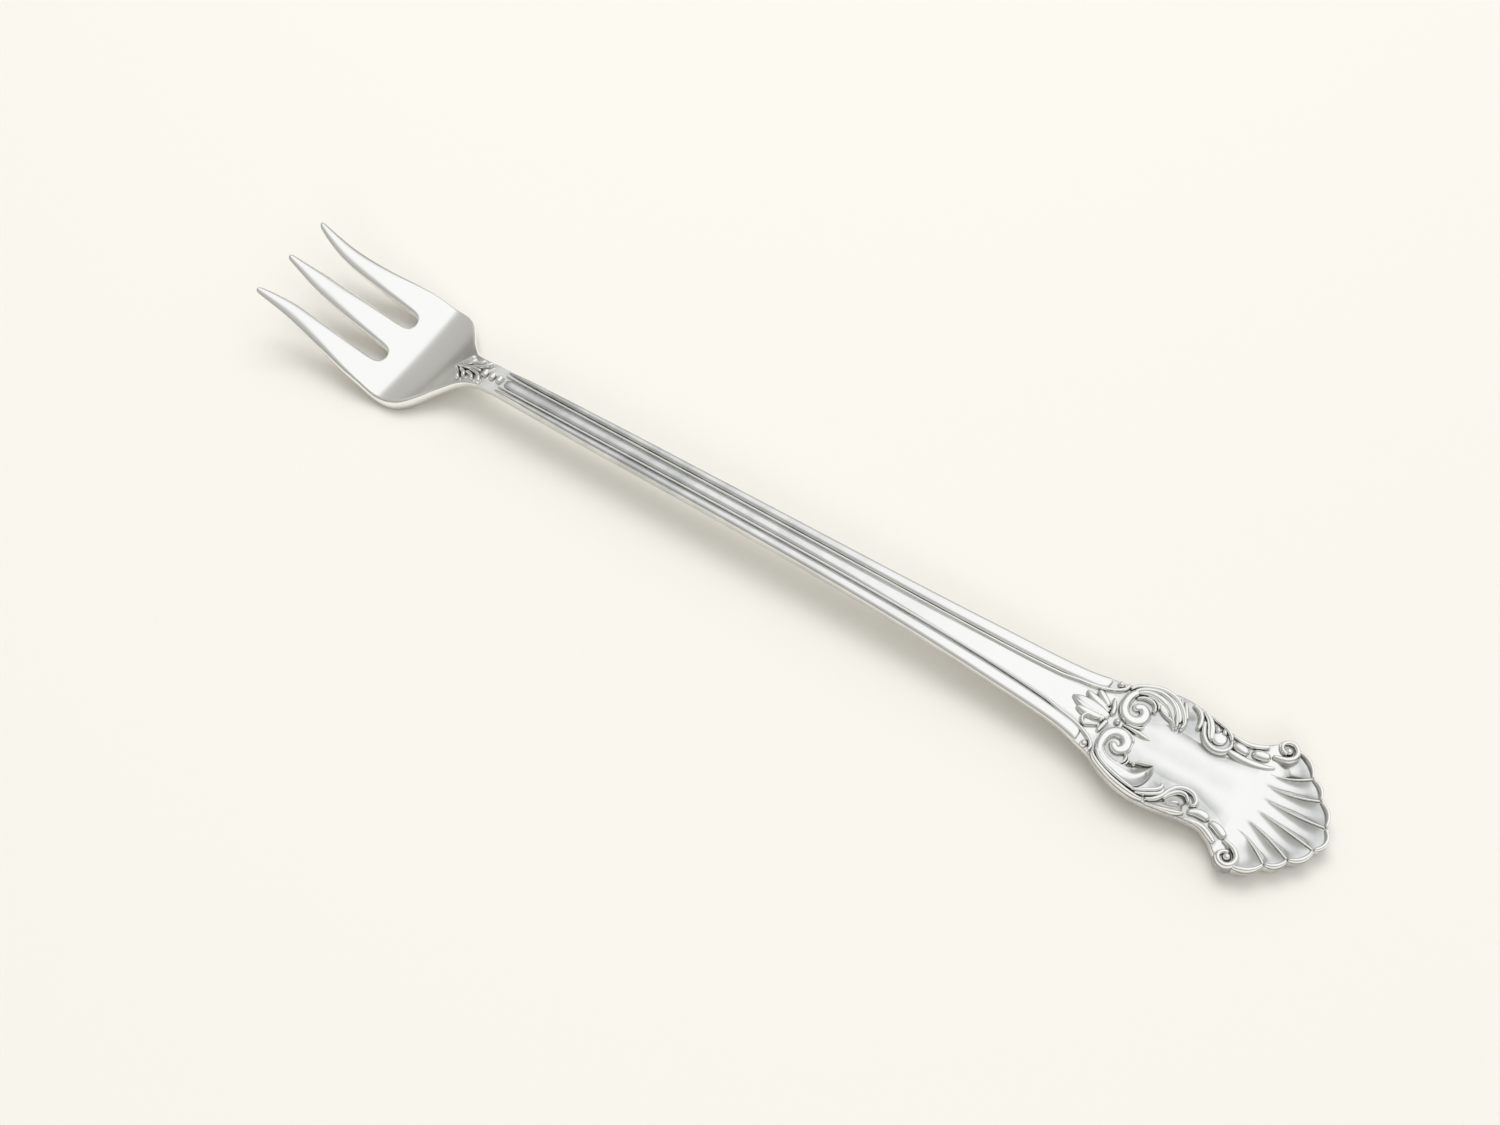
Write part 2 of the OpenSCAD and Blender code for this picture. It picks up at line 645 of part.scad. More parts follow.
module shell_ridges() {
    color("gainsboro") raised(relief_h * 0.5) for (s = [-1, 1]) for (i = [0 : 2]) {
        foot = [shell_l * ridge_shares[i][0], s * shell_w / 2 * ridge_shares[i][1]];
        crest = inward([valleys[i + 1][0], s * valleys[i + 1][1]]);
        ribbon([[foot[0], foot[1], ridge_w * 0.4], [crest[0], crest[1], ridge_w]]);
    }
}

left_scroll_shares = [[0.985, 0.4, 0.45], [0.968, 0.56, 0.8], [0.94, 0.68, 0.95], [0.9, 0.77, 1],
    [0.855, 0.83, 1.1], [0.81, 0.84, 1.3], [0.775, 0.76, 1.5], [0.752, 0.6, 1.25],
    [0.749, 0.47, 0.7], [0.752, 0.37, 0.15]];
left_crescent_shares = [[0.874, 0.43, 0.12], [0.858, 0.52, 0.32], [0.866, 0.61, 0.32],
    [0.888, 0.665, 0.12]];
left_bead_share = [0.822, 0.49];
right_scroll_shares = [[0.985, 0.4, 0.45], [0.972, 0.56, 0.75], [0.95, 0.69, 0.85],
    [0.914, 0.78, 0.9], [0.867, 0.82, 0.95], [0.819, 0.795, 1], [0.777, 0.73, 1],
    [0.75, 0.61, 0.8], [0.742, 0.5, 0.55], [0.755, 0.4, 0.15]];
right_curl_shares = [[0.925, 0.6, 0.12], [0.9, 0.655, 0.35], [0.872, 0.6, 0.4],
    [0.862, 0.47, 0.42]];
right_finger_shares = [[[0.8, 0.91, 0.4], [0.76, 0.84, 0.5], [0.725, 0.72, 0.45], [0.722, 0.62, 0.3]],
    [[0.745, 0.94, 0.4], [0.7, 0.88, 0.55], [0.677, 0.75, 0.42], [0.673, 0.56, 0.32]]];

module stroke(shares, side) {
    ribbon(line_through([for (p = sized(shares, terminal_l, terminal_w / 2, scroll_w))
        [p[0], side * p[1], p[2]]], 4));
}

module scroll_seat(side) {
    difference() {
        children();
        translate([volute_at[0], side * volute_at[1]]) circle(d = volute_d);
    }
}

module left_scroll_flat() {
    scroll_seat(1) {
        union() {
            stroke(left_scroll_shares, 1);
            stroke(left_crescent_shares, 1);
            translate([terminal_l * left_bead_share[0], terminal_w / 2 * left_bead_share[1]])
                circle(d = pearl_d);
        }
    }
}

module left_scroll() {
    color("silver") raised(relief_h) left_scroll_flat();
}

module right_scroll_flat() {
    scroll_seat(-1) {
        union() {
            stroke(right_scroll_shares, -1);
            stroke(right_curl_shares, -1);
            for (f = right_finger_shares)
                stroke(f, -1);
        }
    }
}

module right_scroll() {
    color("silver") raised(relief_h) right_scroll_flat();
}

left_finger_shares = [[0.73, 0.86, 0.5], [0.7, 0.76, 0.6], [0.686, 0.62, 0.5], [0.69, 0.5, 0.15]];
left_curl_shares = [[0.76, 0.965, 0.15], [0.7, 0.93, 0.55], [0.672, 0.78, 0.75], [0.655, 0.6, 0.7],
    [0.63, 0.46, 0.6], [0.585, 0.395, 0.5], [0.545, 0.43, 0.45], [0.532, 0.53, 0.5],
    [0.55, 0.59, 0.3]];
left_leaf_shares = [[0.65, 0.9, 0.2], [0.6, 0.8, 0.9], [0.572, 0.74, 0.7], [0.555, 0.7, 0.2]];

module left_curl() {
    color("silver") raised(relief_h) difference() {
        union() {
            stroke(left_finger_shares, 1);
            stroke(left_curl_shares, 1);
            stroke(left_leaf_shares, 1);
        }
        left_scroll_flat();
    }
}

right_cup_shares = [[0.672, 0.9, 0.3], [0.655, 0.72, 0.5], [0.64, 0.53, 0.5], [0.6, 0.42, 0.45],
    [0.557, 0.425, 0.45], [0.533, 0.55, 0.5], [0.54, 0.68, 0.4], [0.565, 0.76, 0.15]];
right_kernel_shares = [[[0.6, 0.58, 0.15], [0.595, 0.68, 0.5], [0.6, 0.76, 0.2]],
    [[0.572, 0.56, 0.15], [0.57, 0.66, 0.4], [0.575, 0.74, 0.2]]];

module right_cup() {
    color("silver") raised(relief_h) difference() {
        union() {
            stroke(right_cup_shares, -1);
            for (k = right_kernel_shares)
                stroke(k, -1);
        }
        right_scroll_flat();
    }
}

// Long beads between the scrolls and the shell: place, half length and half width
row_shares = [[0.487, 0.665, 0.034, 0.07, 4], [0.404, 0.71, 0.038, 0.075, 8]];
rim_shares = [[0.51, 0.545, 0.12], [0.48, 0.555, 0.18], [0.42, 0.57, 0.18], [0.37, 0.6, 0.12]];

module bead_row(side) {
    raised(relief_h * 0.9) for (s = row_shares)
        polygon(oval([terminal_l * s[0], side * terminal_w / 2 * s[1]], terminal_l * s[2],
            terminal_w / 2 * s[3], -side * s[4]));
    raised(relief_h * 0.5) stroke(rim_shares, side);
}

module left_bead_row() {
    color("gainsboro") bead_row(1);
}

module right_bead_row() {
    color("gainsboro") bead_row(-1);
}

end_volute_at = [shell_l * 0.875, shell_w / 2 * 0.84];

module end_volute(side) {
    r = end_volute_d / 2;
    w = r * 0.4;
    raised(relief_h) difference() {
        ribbon(spiral([end_volute_at[0], side * end_volute_at[1]], r - w / 2, r * 0.25,
            side * -130, side * 250, w, w * 0.7, 30));
        shell_lip_flat();
    }
}

module shell_lip_flat() {
    polygon(concat(shell_edge, [for (i = [len(shell_edge) - 1 : -1 : 0]) inward(shell_edge[i])]));
}

module left_end_volute() {
    color("silver") end_volute(1);
}

module right_end_volute() {
    color("silver") end_volute(-1);
}

left_tine();
middle_tine();
right_tine();
bowl();
neck();
neck_leaf();
neck_beads();
stem();
flare();
centre_band();
left_reed();
right_reed();
left_fillet();
right_fillet();
left_reed_bead();
right_reed_bead();
palmette();
pearl();
plume();
left_volute();
right_volute();
left_scroll();
right_scroll();
left_curl();
right_cup();
left_bead_row();
right_bead_row();
left_end_volute();
right_end_volute();
cartouche();
shell();
shell_ridges();
shell_lip();
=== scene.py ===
import bpy
import bmesh
import math
from mathutils import Matrix, Vector


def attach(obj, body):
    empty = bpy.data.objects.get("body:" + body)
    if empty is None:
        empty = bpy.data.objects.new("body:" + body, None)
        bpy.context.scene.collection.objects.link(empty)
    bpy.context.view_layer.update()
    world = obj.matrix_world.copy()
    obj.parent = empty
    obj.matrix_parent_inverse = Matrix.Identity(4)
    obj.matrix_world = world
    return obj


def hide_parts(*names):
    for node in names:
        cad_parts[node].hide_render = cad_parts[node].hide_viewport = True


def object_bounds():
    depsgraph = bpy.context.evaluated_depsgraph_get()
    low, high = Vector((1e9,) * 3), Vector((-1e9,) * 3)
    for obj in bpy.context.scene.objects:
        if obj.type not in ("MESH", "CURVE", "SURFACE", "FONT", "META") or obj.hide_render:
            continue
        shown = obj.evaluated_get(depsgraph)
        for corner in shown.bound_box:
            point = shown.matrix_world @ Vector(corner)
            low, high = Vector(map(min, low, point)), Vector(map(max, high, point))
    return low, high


# Oyster fork in struck silver. Lengths below are in millimetres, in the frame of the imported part.
# u runs along the handle from the end of the shell, y to the left side, w above the flat top face.

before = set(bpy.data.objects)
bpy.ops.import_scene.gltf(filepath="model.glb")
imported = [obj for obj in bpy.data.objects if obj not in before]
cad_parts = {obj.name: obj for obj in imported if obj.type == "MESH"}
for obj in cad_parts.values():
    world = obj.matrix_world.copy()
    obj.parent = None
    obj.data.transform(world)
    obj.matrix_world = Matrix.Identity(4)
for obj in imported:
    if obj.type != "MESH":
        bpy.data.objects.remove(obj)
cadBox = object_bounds()
mm = 0.001
tipX = cadBox[1][0] / mm
endX = cadBox[0][0] / mm
print("frame loaded", len(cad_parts), "nodes")


# small helpers

def clamp(x, low=0.0, high=1.0):
    return max(low, min(high, x))


def mixed(a, b, t):
    return a + (b - a) * t


def eased(low, high, x):  # 0 before low, 1 after high, smooth between
    t = clamp((x - low) / (high - low))
    return t * t * (3 - 2 * t)


def easedPast(origin, span, x):  # the same, with the span measured from an origin
    return eased(origin + span[0], origin + span[1], x)


def curveAt(points, x):  # smooth curve through given points
    i = 0
    while i + 2 < len(points) and x > points[i + 1][0]:
        i += 1

    def slopeAt(k):
        a, b = points[max(k - 1, 0)], points[min(k + 1, len(points) - 1)]
        return (b[1] - a[1]) / (b[0] - a[0])

    step = points[i + 1][0] - points[i][0]
    s = clamp((x - points[i][0]) / step)
    q, c = s * s, s * s * s
    return ((2 * c - 3 * q + 1) * points[i][1] + (c - 2 * q + s) * step * slopeAt(i)
            + (3 * q - 2 * c) * points[i + 1][1] + (c - q) * step * slopeAt(i + 1))


def lineThrough(points, steps):  # smooth line through points of any number of values
    line = []
    for i in range(len(points) - 1):
        a, b = points[max(i - 1, 0)], points[i]
        c, d = points[i + 1], points[min(i + 2, len(points) - 1)]
        for k in range(steps):
            t = k / steps
            line.append([(2 * q + (r - p) * t + (2 * p - 5 * q + 4 * r - s) * t * t
                          + (3 * q - p - 3 * r + s) * t ** 3) / 2 for p, q, r, s in zip(a, b, c, d)])
    line.append(list(points[-1]))
    return line


def movedGrid(bm, across, along, where):  # a grid whose points go to where(i, j)
    made = bmesh.ops.create_grid(bm, x_segments=across, y_segments=along, size=0.5)["verts"]
    for v in made:
        i, j = round((v.co.x + 0.5) * across), round((v.co.y + 0.5) * along)
        v.co = where(i, j, v)
    return made


def roundEnd(x):  # 0 at an end, 1 once x has reached 1, along a quarter circle
    return math.sqrt(max(0.0, 1 - (1 - clamp(x)) ** 2))


# silver

def addNode(tree, kind, values=None):
    node = tree.nodes.new(kind)
    for socket, value in (values or {}).items():
        node.inputs[socket].default_value = value
    return node


def addMath(tree, operation, first, second):
    node = addNode(tree, "ShaderNodeMath")
    node.operation = operation
    node.use_clamp = True
    tree.links.new(first, node.inputs[0])
    tree.links.new(second, node.inputs[1])
    return node.outputs[0]


def addSpan(tree, source, span, result, blend="LINEAR"):  # stretches a span of the source to one of results
    node = addNode(tree, "ShaderNodeMapRange", {"From Min": span[0], "From Max": span[1],
                                                "To Min": result[0], "To Max": result[1]})
    node.interpolation_type = blend
    tree.links.new(source, node.inputs["Value"])
    return node.outputs["Result"]


def addNoise(tree, place, scale, detail, rough=0.5):
    node = addNode(tree, "ShaderNodeTexNoise", {"Scale": scale, "Detail": detail, "Roughness": rough})
    tree.links.new(place, node.inputs["Vector"])
    return node.outputs["Fac"]


# what both finishes share
grain = {"bright": (0.92, 0.915, 0.895), "veilAt": 0.4, "creviceSamples": 8, "blotchDetail": 4.0,
         "blotchSpan": (0.35, 0.65), "hazeDetail": 6.0, "hazeSpan": (0.3, 0.7), "tarnishShadeRough": 0.25,
         "scratchDetail": 5.0, "scratchRough": 0.7, "scratchHeight": 0.01}


def silverFinish(name, look):
    mat = bpy.data.materials.new(name)
    mat.use_nodes = True
    tree = mat.node_tree
    link = tree.links.new
    shader = tree.nodes["Principled BSDF"]
    shader.inputs["Metallic"].default_value = 1.0

    # tarnish and painted shade sit where the pieces were given them, and the crevices darken by how enclosed
    # they are: patina there, with painted shade
    place = addNode(tree, "ShaderNodeTexCoord").outputs["Object"]
    tarnishAndShade = addNode(tree, "ShaderNodeAttribute")
    tarnishAndShade.attribute_name = "tarnishAndShade"
    crevice = addNode(tree, "ShaderNodeAmbientOcclusion", {"Distance": look["creviceReach"] * mm})
    crevice.samples = grain["creviceSamples"]
    hollow = addSpan(tree, crevice.outputs["AO"], look["creviceSpan"], (0.0, 1.0), "SMOOTHSTEP")
    deepest = addMath(tree, "MAXIMUM", tarnishAndShade.outputs["Fac"], hollow)
    blotch = addNoise(tree, place, look["blotchScale"], grain["blotchDetail"])
    patch = addSpan(tree, blotch, grain["blotchSpan"], (look["blotchLow"], 1.0))
    amount = addMath(tree, "MULTIPLY", deepest, patch)
    ramp = addNode(tree, "ShaderNodeValToRGB")
    ramp.color_ramp.elements[0].color = (*grain["bright"], 1)
    ramp.color_ramp.elements[1].color = (*look["deep"], 1)
    ramp.color_ramp.elements.new(grain["veilAt"]).color = (*look["veil"], 1)
    link(amount, ramp.inputs["Fac"])
    link(ramp.outputs["Color"], shader.inputs["Base Color"])

    # haze of long use, duller where tarnish and painted shade lie
    haze = addNoise(tree, place, look["hazeScale"], grain["hazeDetail"])
    dull = addSpan(tree, haze, grain["hazeSpan"], look["gloss"])
    rough = addNode(tree, "ShaderNodeMath", {1: grain["tarnishShadeRough"]})
    rough.operation = "MULTIPLY_ADD"
    link(amount, rough.inputs[0])
    link(dull, rough.inputs[2])
    link(rough.outputs[0], shader.inputs["Roughness"])

    # hairline scratches, which run mostly along the fork on the polished parts
    stretch = addNode(tree, "ShaderNodeMapping", {"Scale": look["scratchStretch"],
                                                  "Rotation": (0, 0, math.radians(look["scratchTurn"]))})
    link(place, stretch.inputs["Vector"])
    scratch = addNoise(tree, stretch.outputs["Vector"], look["scratchScale"], grain["scratchDetail"],
                       grain["scratchRough"])
    relief = addNode(tree, "ShaderNodeBump", {"Strength": look["scratchDepth"],
                                              "Distance": grain["scratchHeight"] * mm})
    link(scratch, relief.inputs["Height"])
    link(relief.outputs["Normal"], shader.inputs["Normal"])
    return mat


silver = {
    "polished_silver": {
        "veil": (0.65, 0.66, 0.655), "deep": (0.3, 0.29, 0.265), "creviceReach": 0.5,
        "creviceSpan": (0.66, 0.14), "blotchScale": 260.0, "blotchLow": 0.25, "hazeScale": 350.0,
        "gloss": (0.13, 0.21), "scratchStretch": (60, 900, 900), "scratchTurn": 4, "scratchScale": 3.0,
        "scratchDepth": 0.12,
    },
    "struck_silver": {
        "veil": (0.62, 0.615, 0.59), "deep": (0.22, 0.21, 0.19), "creviceReach": 0.45,
        "creviceSpan": (0.6, 0.16), "blotchScale": 1300.0, "blotchLow": 0.7, "hazeScale": 600.0,
        "gloss": (0.12, 0.2), "scratchStretch": (500, 500, 500), "scratchTurn": 0, "scratchScale": 4.0,
        "scratchDepth": 0.08,
    },
}
finishes = {"polished_silver": silverFinish("polishedSilver", silver["polished_silver"]),
            "struck_silver": silverFinish("struckSilver", silver["struck_silver"])}
weld, sharpAngle = 1e-7, math.radians(50)


def linked(name, data):  # a new object of the scene
    made = bpy.data.objects.new(name, data)
    bpy.context.scene.collection.objects.link(made)
    return made


def meshObject(name, bm, material):
    mesh = bpy.data.meshes.new(name)
    bm.to_mesh(mesh)
    bm.free()
    mesh.materials.append(material)
    return linked(name, mesh)


def finishPiece(name, bm, replaced, slotName):
    bmesh.ops.remove_doubles(bm, verts=bm.verts, dist=weld)
    bmesh.ops.dissolve_degenerate(bm, edges=bm.edges, dist=weld)
    bmesh.ops.recalc_face_normals(bm, faces=bm.faces)
    for face in bm.faces:
        face.smooth = True
    piece = meshObject(name, bm, finishes[slotName])
    piece.data.set_sharp_from_angle(angle=sharpAngle)
    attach(piece, "root")
    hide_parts(*replaced)
    print(name, len(piece.data.polygons), "faces")


# body: tines, bowl, neck, stem, flare and the plate of the handle end, struck from one blank

body = {
    "tineL": 17.0, "bowlL": 10.0, "neckL": 7.0, "flareL": 15.4, "terminalL": 27.6, "shellL": 10.4,
    "tipsW": 13.7, "tipW": 0.8, "midTineW": 3.9, "slotW": 2.35, "plateT": 2.1, "stemT": 2.3,
    "neckH": 5.6, "slope": 3.5, "restSink": 0.15, "cup": 0.38, "scallop": 0.18,
    "tineColumns": 22, "slotColumns": 15, "shoulderColumns": 6, "fluteColumns": 12, "tineRows": 40,
    "rootRows": 12, "rootRowsEnd": 19.6, "bowlRows": 22, "neckRows": 18, "stemRows": 80,
    "flareRows": 52, "plateRows": 86, "shellRows": 56, "tipCrowd": 1.25, "lipCrowd": 1.4,
}
# how the edges round off: share of the thickness, reach inwards, and power of the curve
# the last three keys paint the side walls darker near the edge: painted shade
edge = {"steps": (0.0, 0.005, 0.018, 0.045, 0.09, 0.15, 0.22), "plateShare": 0.86, "headShare": 0.5,
        "topReach": 0.3, "lowReach": 1.1, "headReach": 0.55, "tipReach": 0.5, "tineReach": (0.35, 1.15),
        "tipShare": 0.02, "power": 2.4, "backPower": 2.7, "tinePower": 1.55, "shadeAndTarnish": 0.34, "headSideShade": 0.7,
        "shadeSpan": (0.02, 0.6)}
# where one form of the head passes into the next, from the tips
passing = {"tines": (5.0, 15.0), "dish": (10.0, 18.0), "heel": (23.0, 28.0), "neck": (24.5, 33.0),
           "round": (20.5, 29.0)}
# and where the plate's form and its edge give way past the plate, and the shell's fan past the shell
giving = {"plate": (-0.5, 7.0), "edge": (1.0, 3.5), "fan": 5.0}
slope = math.radians(body["slope"])
headL = body["tineL"] + body["bowlL"] + body["neckL"]
neckX = tipX - headL
handleL = body["flareL"] + body["terminalL"]
endH = body["plateT"] * math.cos(slope) - body["restSink"]
flareX = endX + handleL * math.cos(slope)
flareH = endH + handleL * math.sin(slope)
stemL = neckX - flareX
stemEnd = handleL + stemL
slotY = (body["midTineW"] + body["slotW"]) / 2
slotR = body["slotW"] / 2
splitD = body["tineL"] - slotR
bowlEnd = body["tineL"] + body["bowlL"]
rootEnd = body["rootRowsEnd"]
terminalL, shellL = body["terminalL"], body["shellL"]
columns = 3 * body["tineColumns"] + 2 * body["slotColumns"]
sides = (("left", 1), ("right", -1))


def onHandle(u, y, w):  # a place on the handle, in metres
    if u <= handleL:
        tilt, x, z = slope, endX + u * math.cos(slope), endH + u * math.sin(slope)
    else:
        s = (stemEnd - u) / stemL
        q, c = s * s, s * s * s
        rise = body["neckH"] - flareH
        tilt = math.atan((6 * (s - q) * rise + (3 * q - 2 * s) * math.tan(slope) * stemL) / stemL)
        x = neckX - s * stemL
        z = ((2 * c - 3 * q + 1) * body["neckH"] + (3 * q - 2 * c) * flareH
             + (q - c) * math.tan(slope) * stemL)
    return Vector((x - w * math.sin(tilt), y, max(0.0, z + w * math.cos(tilt)))) * mm


# half width, top height and thickness of the head by distance from the tips
headHalf = [(0, 6.85), (4.93, 6.799), (10.03, 7.445), (13.94, 8.108), (17, 8.431), (19.5, 8.55),
            (21.5, 8.379), (23.2, 7.65225), (24.8, 6.0705), (26, 4.65975), (27, 3.7), (28.05, 2.8675),
            (29.45, 2.294), (31.2, 1.961), (34, 1.85)]
headTop = [(0, 8.65), (3.995, 7.054), (7.99, 5.514), (11.9, 4.17), (14.45, 3.4525), (17, 2.7),
           (18.4, 2.105), (19.5, 1.7375), (20.5, 1.7375), (21.8, 1.9665), (23.2, 2.2976), (25, 2.805),
           (27, 3.622), (29.1, 4.697), (31.2, 5.342), (34, 5.6)]
headThick = [(0, 0.75), (3.995, 1.2175), (8.5, 1.4725), (17, 1.5), (19.5, 1.48), (20.6, 1.76), (22, 1.88),
             (23.5, 1.9), (27, 1.9), (34, 2.3)]
# how the tines change from the tips to the slots' ends
innerShares = [(0, 1), (0.12, 0.57), (0.28, 0.17), (0.45, 0.03), (0.7, 0), (1, 0)]
middleShares = [(0, 0), (0.12, 0.23), (0.29, 0.55), (0.47, 0.73), (0.65, 0.87), (1, 1)]
# half width of the stem and flare, and of the plate, by u
stemHalf = [(27.6, 5.3), (28.524, 5.041), (32.99, 4.116), (43, 3.45), (handleL + stemL * 0.14, 2.955),
            (handleL + stemL * 0.3, 2.625), (handleL + stemL * 0.55, 2.35), (handleL + stemL * 0.8, 2.15),
            (stemEnd, 1.85)]
plateHalf = [(10.4, 7.917), (11.5092, 6.993), (13.11, 6.3), (14.9868, 6.3945), (17.4984, 6.909),
             (20.976, 7.35), (23.736, 6.94575), (26.082, 6.1005), (27.6, 5.3)]


def handleHalf(u):
    return curveAt(stemHalf, u) if u >= terminalL else curveAt(plateHalf, u)


# scalloped edge of the shell, from the left shoulder round to the right
valleys = [Vector(p) for p in ((8.216, 8.645), (4.784, 6.37), (2.808, 4.368), (0.884, 1.638))]
valleys += [Vector((v.x, -v.y)) for v in reversed(valleys)]
shoulder = Vector((9.36, 8.9635))


def scallopPoint(index, s):  # a point of the edge between one valley and the next
    p, q = valleys[index], valleys[index + 1]
    d = q - p
    swell = valleys[3].x / (2 * valleys[3].y) if index == 3 else body["scallop"]
    return p + d * s + Vector((d.y, -d.x)) * swell * 4 * s * (1 - s)


def fluteAt(column):  # which flute a column of the body grid is in, and its share across
    past = column - body["shoulderColumns"]
    index = min(past // body["fluteColumns"], len(valleys) - 2)
    return index, (past - body["fluteColumns"] * index) / body["fluteColumns"]


def onShoulder(column):
    return min(column, columns - column) < body["shoulderColumns"]


def edgePoint(column):  # the shell's edge where a column of the body grid meets it
    count = body["shoulderColumns"]
    if column <= count:
        return shoulder.lerp(valleys[0], column / count)
    if column >= columns - count:
        low, high = valleys[-1], Vector((shoulder.x, -shoulder.y))
        return low.lerp(high, (column - columns + count) / count)
    return scallopPoint(*fluteAt(column))


edgeLine = [Vector((shellL, handleHalf(shellL)))] + [edgePoint(k) for k in range(columns + 1)] \
    + [Vector((shellL, -handleHalf(shellL)))]


def distanceToEdge(p):
    best = 1e9
    for a, b in zip(edgeLine, edgeLine[1:]):
        d = b - a
        t = clamp((p - a).dot(d) / max(d.dot(d), 1e-9))
        best = min(best, (a + d * t - p).length)
    return best


# the plain field and its low dome, by u, with the hollows (u, y, radius) between the scrolls
field = {
    "half": [(10.4, 4.9), (12.0, 4.0), (14.5, 3.2), (16.0, 2.9), (19.0, 3.2), (22.0, 3.0), (24.0, 2.0),
             (26.0, 0.8)],
    "rise": [(0.0, 0.0), (4.0, 0.04), (8.0, 0.28), (12.0, 0.58), (17.0, 0.64), (20.5, 0.52), (23.5, 0.18),
             (25.5, 0.0), (27.6, 0.0)],
    "hollows": [(16.5, -4.9, 1.5), (20.1, -5.7, 0.9), (21.6, -6.9, 0.6), (22.3, 3.7, 1.0), (19.6, 4.6, 0.8),
                (17.2, 5.0, 0.9)],
    "shellHalf": (4.9, 7.5), "power": 2.3, "hollowDepth": 0.14, "hollowCore": 0.45,
    # the field's colour darkens near its borders, at its foot and in the hollows: painted shade; along its
    # middle: a painted dim reflection
    "hollowRim": (0.05, 0.5), "hollowShade": 0.85, "clean": 0.03, "borderShade": 0.36, "sideFrom": 0.5,
    "footShade": 0.14, "footSpan": (-0.1, 0.4), "dimReflection": 0.14, "dimReflectionSpan": (0.2, 1.7), "dimReflectionPast": (0, 3),
}
# flutes by their share from the field to the lip; the two under the end volutes start late
flute = {"depth": 0.95, "lead": 0.02, "lateStart": 0.3, "full": 0.85, "fade": 0.72, "fadeSpan": (0.6, 1.0),
         # the last two keys darken the flutes towards the lip: painted shade
         "lipSpan": (0.95, 1.0), "cross": (1.7, 0.75), "crossSpan": (0.06, 0.32), "shadeAndTarnish": (0.04, 0.42),
         "shadeSpan": (0.4, 0.95)}
# the stem's top between its strips is darker: tarnish with painted shade; it is also darker just past the
# plate's end
groove = {"shadeAndTarnish": 0.25, "span": (-0.42, -0.3), "plainAfter": 6.0, "endDark": 0.45, "endReach": 0.7}
footShares = [(18, 3.95), (30, 2.4), (42, 0.8), (48, 0.0)]


def footAcross(column):  # where a column of the shell leaves the field
    k = min(column, columns - column)
    side = 1 if column <= columns / 2 else -1
    count, half = body["shoulderColumns"], handleHalf(shellL)
    if k < count:
        return half * (1 - edge["steps"][k]) * side
    steps = [(count, half * (1 - edge["steps"][count]))] + footShares
    y = 0.0
    for a, b in zip(steps, steps[1:]):
        if a[0] <= k <= b[0]:
            y = mixed(a[1], b[1], (k - a[0]) / (b[0] - a[0]))
    return y * side


def rounded(distance, reach, power):  # 0 on the edge, 1 past the rounding
    e = 1 - clamp(distance / max(reach, 1e-6))
    return (1 - e ** power) ** (1 / power)


def tineSides(d):  # left and right edges of the three tines, and of the slots between them
    share = clamp(d / splitD)
    inner = mixed(slotY + slotR, body["tipsW"] / 2 - body["tipW"], curveAt(innerShares, share))
    middle = mixed(body["tipW"], body["midTineW"], curveAt(middleShares, share)) / 2
    outer = curveAt(headHalf, d)
    return [outer, inner, middle, -middle, -inner, -outer]


def headAcross(d, column):  # y, the zone (tines 0, 2, 4 and slots 1, 3) and the place across it
    edges = tineSides(min(d, rootEnd))
    zoneEnds = [0, body["tineColumns"], body["tineColumns"] + body["slotColumns"]]
    zoneEnds += [columns - k for k in reversed(zoneEnds)]
    for z in (0, 2, 4, 1, 3):  # a column that two zones share belongs to the tine
        if zoneEnds[z] <= column <= zoneEnds[z + 1]:
            s = (column - zoneEnds[z]) / (zoneEnds[z + 1] - zoneEnds[z])
            c = -math.cos(math.pi * s)
            return mixed(edges[z], edges[z + 1], (1 + c) / 2), z, c


def spreadColumns(column, kind):  # share of the half width, from 1 on the left to -1
    t = 1 - 2 * column / columns
    if kind == "stem":
        return math.sin(math.pi * t / 2)
    steps = edge["steps"]
    k = min(column, columns - column)
    if k < len(steps):
        share = 1 - steps[k]
    else:
        share = (1 - steps[-1]) * (columns / 2 - k) / (columns / 2 - len(steps) + 1)
    return math.copysign(share, t)


def bodyRows(b):
    rows = [("head", splitD * (k / b["tineRows"]) ** b["tipCrowd"]) for k in range(b["tineRows"])]
    for kind, start, run, count in (("root", splitD, rootEnd - splitD, b["rootRows"]),
                                    ("head", rootEnd, bowlEnd - rootEnd, b["bowlRows"]),
                                    ("head", bowlEnd, headL - bowlEnd, b["neckRows"]),
                                    ("handle", stemEnd, -stemL, b["stemRows"]),
                                    ("handle", handleL, -b["flareL"], b["flareRows"]),
                                    ("handle", terminalL, shellL - terminalL, b["plateRows"])):
        rows += [(kind, start + run * k / count) for k in range(count)]
    count = b["shellRows"]
    return rows + [("shell", 1 - (1 - k / count) ** b["lipCrowd"]) for k in range(count + 1)]


# the fine line on each side of the centre band, and of the panel on the flare
filletY = [(29, 3.25), (30.5, 2.5), (32.2, 2.2), (36.8, 1.72), (43, 1.38), (handleL + stemL * 0.15, 1.09),
           (handleL + stemL * 0.4, 0.94), (stemEnd, 0.94)]


def shellPlace(column, at):  # along a column of the shell, from the field to the lip
    p0, p1 = Vector((shellL, footAcross(column))), edgePoint(column)
    bend = (p0 + p1) / 2 if onShoulder(column) else Vector(((p0.x + p1.x) / 2, p0.y))
    return p0.lerp(bend, at).lerp(bend.lerp(p1, at), at)


# A section gives u, y, the distance to the edge, the top's height (0 on the handle) and how the edges round
# off there: thickness, share of it that rounds off, and reach and power of the curve above and below.
def shellSection(at, column):
    p = shellPlace(column, at)
    distance = 0.0 if at >= 1 or column in (0, columns) else distanceToEdge(p)
    return p.x, p.y, distance, 0.0, (body["plateT"], edge["plateShare"], edge["topReach"], edge["power"],
                                     edge["lowReach"], edge["power"])


